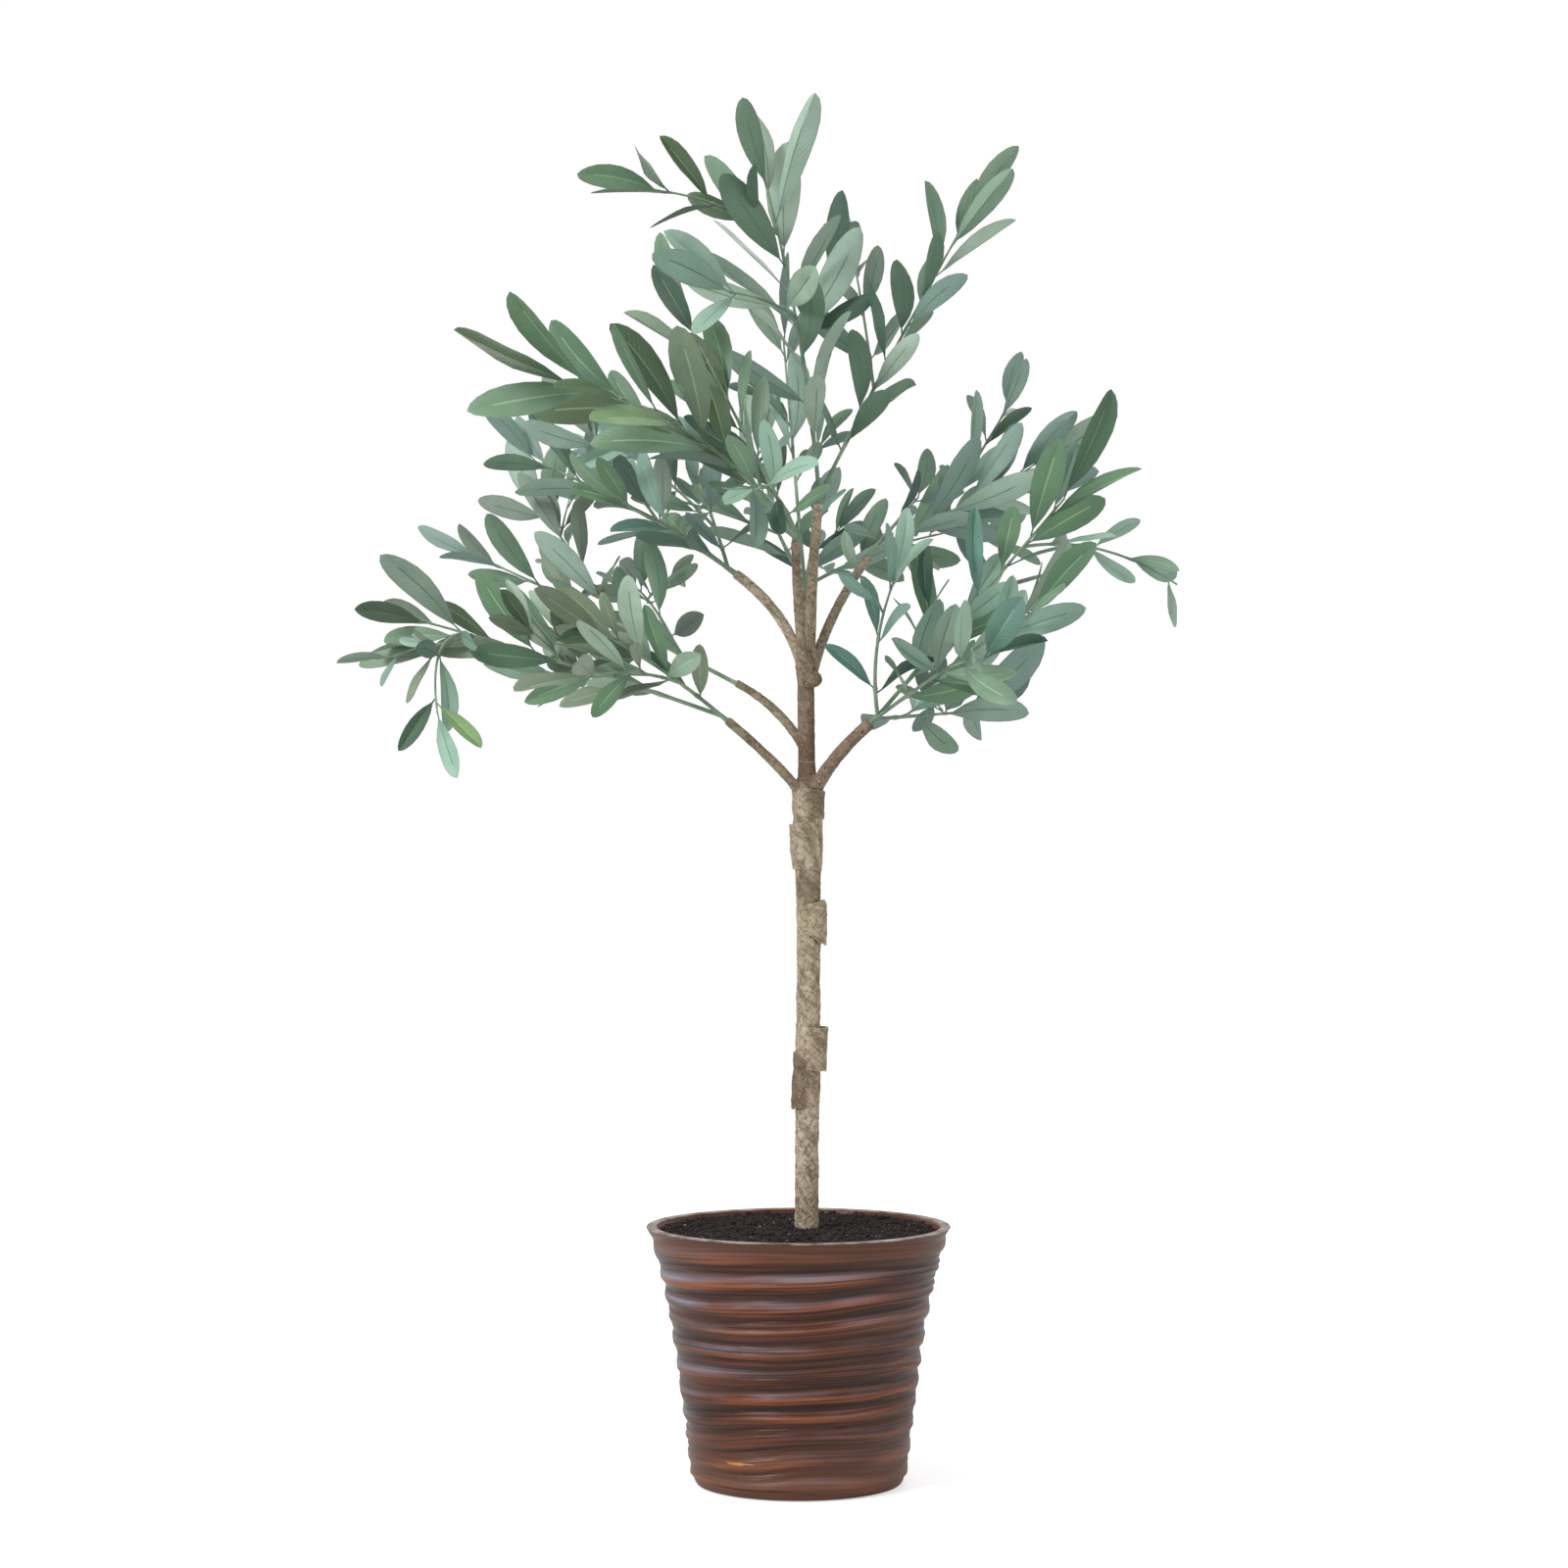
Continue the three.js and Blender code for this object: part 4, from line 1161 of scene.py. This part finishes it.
masses = {mass: stem_curves(mass) for mass in FOLIAGE}
print("stems", sum(len(curves) - 1 for curves in masses.values()))

# %% [markdown]
# A leaf may only stand where there is room. Limbs, stems and leaves are all noted as points with
# a reach and an owner, and a new leaf tests five points along its middle against them. With
# thousands of points the test is one subtraction in numpy rather than a loop.

# %% Room in the crown
MOST_POINTS = 30000
LEAF_REACH = 7
STEM_REACH = 3
OWN_SPACING = 11
CROWN_LOW = np.array([-390, -290, 591])
CROWN_HIGH = np.array([347, 350, 1200])
TRUNK_POINTS, BOUGH_STEPS, STEM_POINTS = 90, 30, 40


class Room:
    def __init__(self):
        self.points = np.empty((MOST_POINTS, 3))
        self.reach = np.empty(MOST_POINTS)
        self.owner, self.kind = np.empty((2, MOST_POINTS), dtype=int)
        self.names = {}
        self.count = 0

    def number(self, name):
        return self.names.setdefault(name, len(self.names))

    def take(self, owner, kind, points, reach):
        block = slice(self.count, self.count + len(points))
        self.points[block], self.reach[block] = points, reach
        self.owner[block], self.kind[block] = self.number(owner), self.number(kind)
        self.count += len(points)

    def is_free(self, owner, kind, tests, spacing=OWN_SPACING, reach=LEAF_REACH):
        if (tests <= CROWN_LOW).any() or (tests >= CROWN_HIGH).any():
            return False
        own = self.owner[: self.count] == self.number(owner)
        mine = own & (self.kind[: self.count] == self.number(kind))
        needed = np.where(own, spacing, self.reach[: self.count] + reach)
        apart = tests[:, None, :] - self.points[None, : self.count]
        return bool(((apart**2).sum(axis=2) > needed**2)[:, ~mine].all())


room = Room()
for height in np.linspace(TRUNK_BASE, TRUNK_TOP, TRUNK_POINTS):
    room.take("trunk", "limb", [trunk_centre(height)], trunk_radius(height))
for name, (*_, radii) in BOUGHS.items():
    reach = np.interp(np.linspace(0, 1, BOUGH_STEPS + 1), (0, 1), radii)
    room.take(name, "limb", bough_curves[name].points(BOUGH_STEPS), reach)
for mass, curves in masses.items():
    for name, *_ in FOLIAGE[mass][2]:
        room.take(mass, name, curves[name].points(STEM_POINTS), STEM_REACH)
print("room taken by", room.count, "points")

# %% [markdown]
# The growth rule: the leaf at the very tip first, then pairs from the highest down. Each leaf
# gets chances in its turn, lean, roll, length and arch from a repeatable row of numbers, and one
# that finds no room in eight tries is left out. The rule's own numbers come first.

# %% The growth rule's values
STEM_BARE = 0.2  # the share of a stem below its lowest pair
PAIR_TOP = 0.94  # the place of its highest pair
PAIR_TURN = 78  # each pair is turned this far from the next
PAIR_STAGGER = 0.03
SPLAY_LOW, SPLAY_HIGH = 50, 28
TIP_PLACE, TIP_TURN, TIP_SPLAY, TIP_LEAF = 0.995, 90, 8, 1.15
TURN_SPREAD, LEAN_SPREAD, ROLL_SPREAD = 40, 24, 96
LENGTH_LEAST, LENGTH_SPREAD = 0.8, 0.4
ARCH_LEAST, ARCH_SPREAD = -0.04, 0.22
LEAF_LIFT = 0.12
FACE_UP = 0.5
FACE_OUT = 1.2
LEAF_TESTS = (0.3, 0.48, 0.66, 0.84, 1)
LEAF_TRIES = 8
MULTIPLIER, MODULUS = 16807, 2147483647  # of the repeatable row of numbers


def pair_places(pairs):
    """Where the leaf pairs sit on their stem, from the lowest up."""
    steps = [pair / (pairs - 1) for pair in range(pairs)] if pairs > 1 else [1]
    return [STEM_BARE + (PAIR_TOP - STEM_BARE) * step for step in steps]


print("places of four pairs", [round(place, 2) for place in pair_places(4)])

# %% [markdown]
# Python's own random numbers aren't those of the CAD source, so the row is made here by the same
# short sum. A leaf is a foot, three directions square to each other, a length and an arch.

# %% Leaves and their chances
class Chance:
    """A repeatable row of numbers between 0 and 1."""

    def __init__(self, seed):
        self.state = seed
        for _ in range(5):
            self.next()

    def next(self):
        self.state = (self.state * MULTIPLIER) % MODULUS
        return self.state / MODULUS

    def spread(self, width):
        """A number up to half the width to either side of 0."""
        return width * (self.next() - 0.5)


class Leaf:
    def __init__(self, curve, share, turn, splay, size, chance):
        self.foot = curve.point(share)
        tangent = curve.tangent(share)
        roll = math.radians(turn + chance.spread(TURN_SPREAD))
        lean = math.radians(splay + chance.spread(LEAN_SPREAD))
        self.along = unit(turned(tangent, square_to(tangent, roll), lean) + UP * LEAF_LIFT)
        outside = np.array([0, -1 if self.foot[1] < 0 else 1, 0])
        across = unit(np.cross(tangent + UP * FACE_UP + outside * FACE_OUT, self.along))
        spin = math.radians(chance.spread(ROLL_SPREAD))
        self.across = turned(across, np.cross(self.along, across), spin)
        self.face = np.cross(self.along, self.across)
        self.length = size * (LENGTH_LEAST + LENGTH_SPREAD * chance.next())
        self.arch = self.length * (ARCH_SPREAD * chance.next() + ARCH_LEAST)
        self.tests = np.array([self.middle(step) for step in LEAF_TESTS])

    def middle(self, step):
        return self.foot + self.along * (self.length * step) - self.face * (self.arch * step * step)


print("first chance of seed 21", round(Chance(21).next(), 4))

# %% [markdown]
# Growing is a loop over the stems in the order of the table: where a leaf finds room, its place is
# taken, and the next one has to keep clear of it.

# %% Growing the leaves
def grow_leaves(mass, kind, curve, pairs, size, chance, spacing=OWN_SPACING):
    leaves = []

    def grow(share, turn, splay, length):
        for _ in range(LEAF_TRIES):
            leaf = Leaf(curve, share, turn, splay, length, chance)
            if room.is_free(mass, kind, leaf.tests, spacing):
                room.take(mass, "leaf", leaf.tests, LEAF_REACH)
                leaves.append(leaf)
                return

    grow(TIP_PLACE, TIP_TURN, TIP_SPLAY, size * TIP_LEAF)
    for pair, share in reversed(list(enumerate(pair_places(pairs)))):
        splay = SPLAY_LOW + (SPLAY_HIGH - SPLAY_LOW) * share
        grow(share, PAIR_TURN * pair, splay, size)
        grow(share - PAIR_STAGGER, PAIR_TURN * pair + 180, splay, size)
    return leaves


sprays = []
for mass, (_, seed, stems) in FOLIAGE.items():
    chance = Chance(seed)
    for name, _, _, _, _, pairs, size in stems:
        curve = masses[mass][name]
        sprays.append((mass, name, curve, grow_leaves(mass, name, curve, pairs, size, chance)))
print("leaves of the source's rule", sum(len(spray[3]) for spray in sprays))

# %% [markdown]
# The solids stop at stems with leaf pairs. The real crown goes one step finer: thin side twigs
# with smaller leaves. They grow by the same rule, from free places on each stem, and stay inside
# the space of their own mass. Where the photograph shows sky through the leaves, they are rare.

# %% Finer twigs
# millimetres of stem for each twig
TWIG_EVERY = {
    "foliage_leader": 330, "foliage_centre_left": 260, "foliage_upper_left": 200,
    "foliage_middle_left": 150, "foliage_upper_right": 240, "foliage_back": 120,
}
TWIG_USUAL = 80
TWIG_SPACING = 8
TWIG_LENGTH, TWIG_LEAST, TWIG_SPREAD = 42, 0.7, 0.6
TWIG_BOW = (0, 0, 2)
TWIG_REACH = 2  # of the bare twig, when it tests for room
TWIG_PAIRS = 2
TWIG_LEAF = 0.6
TWIG_LOWEST, TWIG_SPAN = 0.25, 0.6
TWIG_TURN, TWIG_TURN_SPREAD = 137.5, 60
TWIG_SPLAY, TWIG_LIFT = 0.9, 0.15
TWIG_MARGIN = 6  # inside the box of the mass
TWIG_TESTS = (0.35, 0.6, 0.85, 1)
TWIG_SEED = 1000


def grow_twigs(mass, name, curve, size, chance):
    low, high = (np.array(corner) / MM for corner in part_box(mass))
    length = float(np.linalg.norm(curve.end - curve.start))
    count = int(length / TWIG_EVERY.get(mass, TWIG_USUAL))
    for number in range(count):
        share = TWIG_LOWEST + TWIG_SPAN * (number + chance.next()) / count
        start, tangent = curve.point(share), curve.tangent(share)
        turn = math.radians(TWIG_TURN * number + TWIG_TURN_SPREAD * chance.next())
        outward = square_to(tangent, turn)
        reach = TWIG_LENGTH * (TWIG_LEAST + TWIG_SPREAD * chance.next())
        tip = start + unit(tangent + outward * TWIG_SPLAY + UP * TWIG_LIFT) * reach
        if (tip < low + TWIG_MARGIN).any() or (tip > high - TWIG_MARGIN).any():
            continue
        twig = Bow(start, tip, TWIG_BOW)
        kind = f"{name}_twig_{number}"
        tests = np.array([twig.point(step) for step in TWIG_TESTS])
        if not room.is_free(mass, name, tests, TWIG_SPACING, TWIG_REACH):
            continue
        room.take(mass, kind, twig.points(8), STEM_REACH)
        small = size * TWIG_LEAF
        leaves = grow_leaves(mass, kind, twig, TWIG_PAIRS, small, chance, TWIG_SPACING)
        if leaves:
            yield mass, kind, twig, leaves


twigs = []
for mass, (_, seed, stems) in FOLIAGE.items():
    chance = Chance(seed + TWIG_SEED)
    for name, _, _, _, _, _, size in stems:
        twigs += grow_twigs(mass, name, masses[mass][name], size, chance)
print("twigs", len(twigs), "with leaves", sum(len(twig[3]) for twig in twigs))

# %% [markdown]
# Each leaf is a closed form of a few dozen faces: a short stalk, a blade that is widest beyond
# its middle, a fold along the midrib, an arch, a little twist, and a raised rib. Every corner also
# stores how far along and across the blade it lies, so that a material can draw veins and a dry
# edge.

# %% Leaf shape
LEAF_RATIO = 0.275  # width to length
STATIONS = (0, 0.1, 0.16, 0.26, 0.4, 0.54, 0.68, 0.81, 0.905, 0.965, 1)
RIB_STATIONS = range(1, 7)
BLADE_START = 0.1
BLADE_POWERS = 0.88, 0.6  # how fast it widens from the stalk, and narrows to the tip
WIDEST = 0.595
STALK = 0.7


def blade_share(step):
    return max(0, (step - BLADE_START) / (1 - BLADE_START))


def half_width(leaf, blade):
    """Half the blade's width: a wedge at the foot, widest past the middle, rounded at the tip."""
    foot, tip = BLADE_POWERS
    shape = blade**foot * (1 - blade) ** tip / (WIDEST**foot * (1 - WIDEST) ** tip)
    return max(STALK * (1 - blade), leaf.length * LEAF_RATIO / 2 * shape)


print("widest at", round(BLADE_START + (1 - BLADE_START) * WIDEST, 3), "of the length")

# %% [markdown]
# Seven corners make one ring of the blade: six along the top, of which the middle two are the
# raised edges of the rib, and a keel below, which closes the form. The rings are joined from the
# stalk to the tip, and each face is marked as upper side, rib or underside.

# %% Leaf mesh
TOP, RIB, UNDER = range(3)
LEAF_THICKNESS = 0.5
ACROSS = (-1, -0.5, -0.05, 0.05, 0.5, 1, 0)
CUSHIONS, RIB_EDGES, KEEL = (1, 4), (2, 3), 6
CUSHION, RIB_HEIGHT = 0.07, 0.2
SIDES = (TOP, TOP, RIB, TOP, TOP, UNDER, UNDER)
# what differs from leaf to leaf: degrees of fold and twist, and shares of the length
FOLD_LEAST, FOLD_SPREAD, SHARP_FOLD, SHARP_SHARE = 7, 20, 28, 0.14
TWIST_SPREAD, SICKLE_SPREAD, RIPPLE = 50, 0.11, 0.014


def leaf_mesh(leaf, looks):
    """Points, their places on the blade, faces, and whether each face is top, rib or under."""
    fold = FOLD_LEAST + FOLD_SPREAD * looks.random() ** 2
    fold = math.radians(fold + (SHARP_FOLD if looks.random() < SHARP_SHARE else 0))
    twist = math.radians(TWIST_SPREAD * (looks.random() - 0.5))
    sickle = leaf.length * SICKLE_SPREAD * (looks.random() - 0.5)
    ripple, phase = leaf.length * RIPPLE * looks.random(), 6 * looks.random()
    points, places, faces, parts = [], [], [], []
    for step in STATIONS[:-1]:
        blade = blade_share(step)
        width, angle = half_width(leaf, blade), twist * blade
        across, face = turned(leaf.across, leaf.face, angle), turned(leaf.face, -leaf.across, angle)
        middle = leaf.middle(step) + leaf.across * (sickle * 4 * blade * (1 - blade))
        bend = fold * min(1, 4 * blade)
        wave = ripple * math.sin(9 * blade + phase) * min(1, 3 * blade)
        for index, place in enumerate(ACROSS):
            aside = abs(place) * width
            rise = aside * math.sin(bend) + wave * abs(place)
            if index in CUSHIONS:
                rise += CUSHION * width * min(1, 4 * blade)
            if index in RIB_EDGES:
                rise += RIB_HEIGHT * min(1, 6 * blade)
            if index == KEEL:
                rise -= LEAF_THICKNESS + STALK * max(0, 1 - 5 * blade)
            aside = math.copysign(aside * math.cos(bend), place)
            points.append(middle + across * aside + face * rise)
            places.append((step, place))
    points.append(leaf.middle(1))
    places.append((1, 0))
    last, ring = len(points) - 1, len(ACROSS)
    for station in range(len(STATIONS) - 1):
        for side, part in enumerate(SIDES):
            a, b = station * ring + side, station * ring + (side + 1) % ring
            parts.append(TOP if part == RIB and station not in RIB_STATIONS else part)
            faces.append((b, a, last) if station == len(STATIONS) - 2 else (b, a, a + ring, b + ring))
    faces.append(tuple(range(ring)))
    parts.append(UNDER)
    return points, places, faces, parts


LEAF_CORNERS = len(ACROSS) * (len(STATIONS) - 1) + 1
print("corners in a leaf", LEAF_CORNERS)

# %% [markdown]
# The leaves are printed cloth. Some sprays are pale sage, others deep green, teal or olive, and a
# pale rib runs down the upper side. One tint for all would look flat, and a random tint for each
# would look like confetti, so every spray has four tints of its own and deals them out by share.

# %% Leaf tints
# upper side, rib, and underside of each tint
TINTS = {
    "sage": ("B7D0BA", "7C9A72", "B0C8B3"),
    "mint": ("9EC3AE", "6E9478", "A3C1AF"),
    "green": ("6E9470", "A3BF9A", "80A085"),
    "teal": ("76A394", "A8C5B9", "8CABA0"),
    "deep": ("3A5F4A", "86A08E", "668674"),
    "olive": ("5F7752", "9CAA8C", "7E9276"),
    "lime": ("7DA55F", "B3C695", "8EA87A"),
    "dusk": ("5E6E60", "8F9A8A", "79887A"),
    "moss": ("7F9074", "A8B196", "8B9A82"),
}
# the tints of each mass, the commonest first; a stem with its own look has its own row
SPRAY_TINTS = {
    "foliage_leader": ("sage", "mint", "green", "sage"),
    "foliage_leader left": ("green", "olive", "deep", "sage"),
    "foliage_leader right": ("green", "sage", "deep", "teal"),
    "foliage_leader front": ("sage", "green", "mint", "deep"),
    "foliage_leader inner": ("teal", "deep", "mint", "green"),
    "foliage_centre_left": ("green", "deep", "teal", "olive"),
    "foliage_centre_left outer": ("olive", "green", "lime", "deep"),
    "foliage_centre_left front": ("green", "mint", "olive", "deep"),
    "foliage_upper_left": ("teal", "deep", "green", "dusk"),
    "foliage_middle_left": ("green", "dusk", "teal", "moss"),
    "foliage_lower_left": ("moss", "green", "sage", "olive"),
    "foliage_lower_left hanging": ("mint", "lime", "green", "sage"),
    "foliage_upper_right": ("teal", "green", "mint", "sage"),
    "foliage_lower_right": ("teal", "mint", "green", "deep"),
    "foliage_lower_right front": ("green", "sage", "teal", "mint"),
    "foliage_back": ("green", "teal", "deep", "mint"),
}
TINT_SHARES = (0.46, 0.26, 0.18, 0.1)

print("tints", len(TINTS), "for sprays", len(SPRAY_TINTS))

# %% [markdown]
# A leaf's finish starts from one printed colour. The leaf's own tone makes it darker or lighter,
# its foot is darker, faint veins slant to the edge, and the edge looks dry.

# %% Leaf finishes
def make_leaf_finish(name, colour, part):
    leaf = Finish(name, 0.46, 0.42)
    along, across, tone = (leaf.number(number) for number in ("along", "across", "tone"))
    aside = leaf.maths("ABSOLUTE", across)
    leaf.body = leaf.mix(leaf.spread(tone, 0, 0.5, 0.76, 0), colour, "2B4A3C")
    leaf.coat(leaf.spread(tone, 0.5, 1, 0, 0.46), "CBE0CD")
    leaf.coat(leaf.spread(leaf.cloud(45, detail=2), 0, 1, 0.16, 0), "3B5147")
    leaf.coat(leaf.spread(along, 0.1, 0.5, 0.36, 0), "405C51")
    slanting = leaf.maths("ADD", leaf.times(aside, -3.4), leaf.times(along, 17))
    veins = leaf.spread(leaf.maths("PINGPONG", slanting, 0.5), 0, 0.2, 1, 0)
    if part != RIB:
        leaf.coat(veins, "D2DECF", 0.05)
        leaf.coat(leaf.spread(aside, 0.86, 1, 0, 0.32), "7E7566")
    if part == UNDER:
        midrib = leaf.times(leaf.spread(aside, 0.03, 0.09, 0.6, 0), leaf.spread(along, 0.8, 0.7))
        leaf.coat(midrib, "4F6E58")
    weave = leaf.cloud(520, (1, 1, 1), 0.35, 0.65, 2)
    return leaf.done([(weave, 0.15), (veins, 0.35)], 0.0004)


leaf_finishes = {
    (tint, part): make_leaf_finish(f"leaf_{tint}_{('top', 'rib', 'under')[part]}", colour, part)
    for tint, colours in TINTS.items()
    for part, colour in enumerate(colours)
}
print("leaf finishes", len(leaf_finishes))

# %% [markdown]
# Hundreds of leaf objects would be slow, so all leaves become one mesh, with a material slot for
# each finish. Each leaf also stores a tone of its own, part of it shared along the stem, because
# the leaves of one real spray are alike but never the same.

# %% All leaves as one joined mesh
SHARED_TONE = 0.35
looks = np.random.default_rng(5)
finish_order = list(leaf_finishes)


def join_leaves(name, groups):
    forms, places, tones, slots = [], [], [], []
    for mass, stem, _, leaves in groups:
        spray = f"{mass} {stem.split('_twig_')[0]}"
        tints = SPRAY_TINTS.get(spray, SPRAY_TINTS[mass])
        lead = looks.random()
        for leaf in leaves:
            tint = tints[looks.choice(len(tints), p=TINT_SHARES)]
            points, leaf_places, faces, parts = leaf_mesh(leaf, looks)
            forms.append((points, faces))
            slots += [finish_order.index((tint, part)) for part in parts]
            places += leaf_places
            tone = SHARED_TONE * lead + (1 - SHARED_TONE) * looks.random()
            tones += [tone] * len(points)
    made = mesh_object(name, forms)
    for key in finish_order:
        made.data.materials.append(leaf_finishes[key])
    made.data.polygons.foreach_set("material_index", slots)
    along, across = zip(*places)
    number_corners(made, along=along, across=across, tone=tones)
    return made


def crease_ribs(piece):
    """Marks the two edges of every rib as sharp, so that the halves of a folded blade differ."""
    ends = np.empty(len(piece.data.edges) * 2, dtype=np.int32)
    piece.data.edges.foreach_get("vertices", ends)
    ends = ends.reshape(-1, 2) % LEAF_CORNERS
    lengthwise = np.abs(ends[:, 0] - ends[:, 1]) == len(ACROSS)
    ribs = lengthwise & np.isin(ends[:, 0] % len(ACROSS), RIB_EDGES)
    sharp = np.empty(len(piece.data.edges), dtype=bool)
    piece.data.edges.foreach_get("use_edge_sharp", sharp)
    piece.data.edges.foreach_set("use_edge_sharp", sharp | ribs)
    print("rib edges", int(ribs.sum()))


leaves = join_leaves("leaves", [*sprays, *twigs])
smooth_by_angle(leaves, 60)
crease_ribs(leaves)
hand_over(leaves, list(FOLIAGE))

# %% [markdown]
# The stems are plastic-coated wires: thin round tubes that taper, with a small swelling where
# each pair of leaves sits. A bevelled curve has no swellings, so each ring of the tube is placed
# in code along the stem's own bowed curve.

# %% Stems and twigs
STEM_SIDES = 8
HUB_STEPS, STEM_STEPS, TWIG_STEPS = 4, 44, 10
SWELLING = 0.35
SWELLING_LENGTH = 0.8  # in steps of the tube
HUB_SHARE = 0.62  # of the radius of the bough's tip
STEM_FOOT, BRANCH_FOOT, STEM_TIP = 1.9, 1.5, 0.85
TWIG_RADII = (1.05, 0.6)


def tube(curve, radii, steps, swellings=()):
    points, faces = [], []
    side = unit(np.cross(UP if abs(curve.tangent(0)[2]) < 0.9 else [1.0, 0, 0], curve.tangent(0)))
    for step in range(steps + 1):
        share = step / steps
        tangent = curve.tangent(share)
        side = unit(side - tangent * (side @ tangent))
        other = np.cross(tangent, side)
        radius = radii[0] + (radii[1] - radii[0]) * share
        off = [(share - place) * steps / SWELLING_LENGTH for place in swellings]
        radius *= 1 + SWELLING * sum(math.exp(-(far**2)) for far in off)
        for k in range(STEM_SIDES):
            angle = 2 * math.pi * k / STEM_SIDES
            points.append(curve.point(share) + turned(side, other, angle) * radius)
        for k in range(STEM_SIDES if step else 0):
            a = (step - 1) * STEM_SIDES + k
            b = (step - 1) * STEM_SIDES + (k + 1) % STEM_SIDES
            faces.append((a, b, b + STEM_SIDES, a + STEM_SIDES))
    faces.append(tuple(range(STEM_SIDES))[::-1])
    faces.append(tuple(steps * STEM_SIDES + k for k in range(STEM_SIDES)))
    return points, faces


def all_tubes():
    for mass, (bough, _, stems) in FOLIAGE.items():
        curves = masses[mass]
        thick = BOUGHS[bough][3][1] * HUB_SHARE
        yield tube(curves["hub"], (thick, 0.8 * thick), HUB_STEPS)
        for name, on, _, _, _, pairs, _ in stems:
            foot = STEM_FOOT if on == "hub" else BRANCH_FOOT
            yield tube(curves[name], (foot, STEM_TIP), STEM_STEPS, pair_places(pairs))
    for _, _, twig, _ in twigs:
        yield tube(twig, TWIG_RADII, TWIG_STEPS, pair_places(TWIG_PAIRS))


stems = mesh_object("stems", all_tubes())
print("tubes make", len(stems.data.polygons), "faces")

# %% [markdown]
# The plastic is a greyish green, a little blotchy, and shines faintly where the light grazes it.

# %% Stem finish
def make_stem_finish():
    plastic = Finish("stem_plastic", 0.5, 0.4)
    plastic.body = plastic.mix(plastic.cloud(45, (1, 1, 1), 0.35, 0.65), "6A836C", "93A98F")
    return plastic.done([(plastic.cloud(260), 0.3)])


stems.data.materials.append(make_stem_finish())
smooth_by_angle(stems, 60)
hand_over(stems, list(FOLIAGE))

# %% [markdown]
# ## Floor and light
#
# The photograph is a cut-out on white, lit softly from all round. A wide pale floor meets a pale
# sky at the horizon, and three large soft lamps give the leaves and ridges their shape. Floor and
# sky are brighter to the camera than to the tree, so that they show white without bleaching it.

# %% Floor, sky and lamps
WHITE = (1, 1, 1, 1)
floor = add_primitive(
    "studio_floor", bpy.ops.mesh.primitive_circle_add, vertices=64, radius=60, fill_type="NGON",
    location=(0, 0, -0.0004),
)
paint = Finish("studio_floor", 0.9, 0.1)
paint.feed(paint.shader, Base_Color=(0.85, 0.85, 0.85, 1), Emission_Color=WHITE)
paint.feed(paint.shader, Emission_Strength=paint.times(paint.seen(), 0.55))
floor.data.materials.append(paint.material)

sky = bpy.data.worlds.new("studio_sky")
sky.use_nodes = True
light = Wiring(sky.node_tree)
glow = light.spread(light.seen(), 0, 1, 0.55, 1.02)
light.feed(light.nodes["Background"], Color=WHITE, Strength=glow)
scene.world = sky


def soft_lamp(name, place, aim, size, power):
    bpy.ops.object.light_add(type="AREA", location=place)
    lamp = bpy.context.object
    lamp.name = name
    lamp.data.shape = "DISK"
    lamp.data.size = size
    lamp.data.energy = power
    lamp.rotation_euler = (Vector(aim) - Vector(place)).to_track_quat("-Z", "Y").to_euler()
    print(name, power, "W")


soft_lamp("key_lamp", (-2.0, -2.0, 2.6), (0, 0, 0.6), 1.3, 66)
soft_lamp("fill_lamp", (2.2, -1.8, 1.2), (0, 0, 0.6), 1.8, 7)
soft_lamp("back_lamp", (0.6, 2.2, 2.6), (0, 0, 0.7), 1.6, 14)
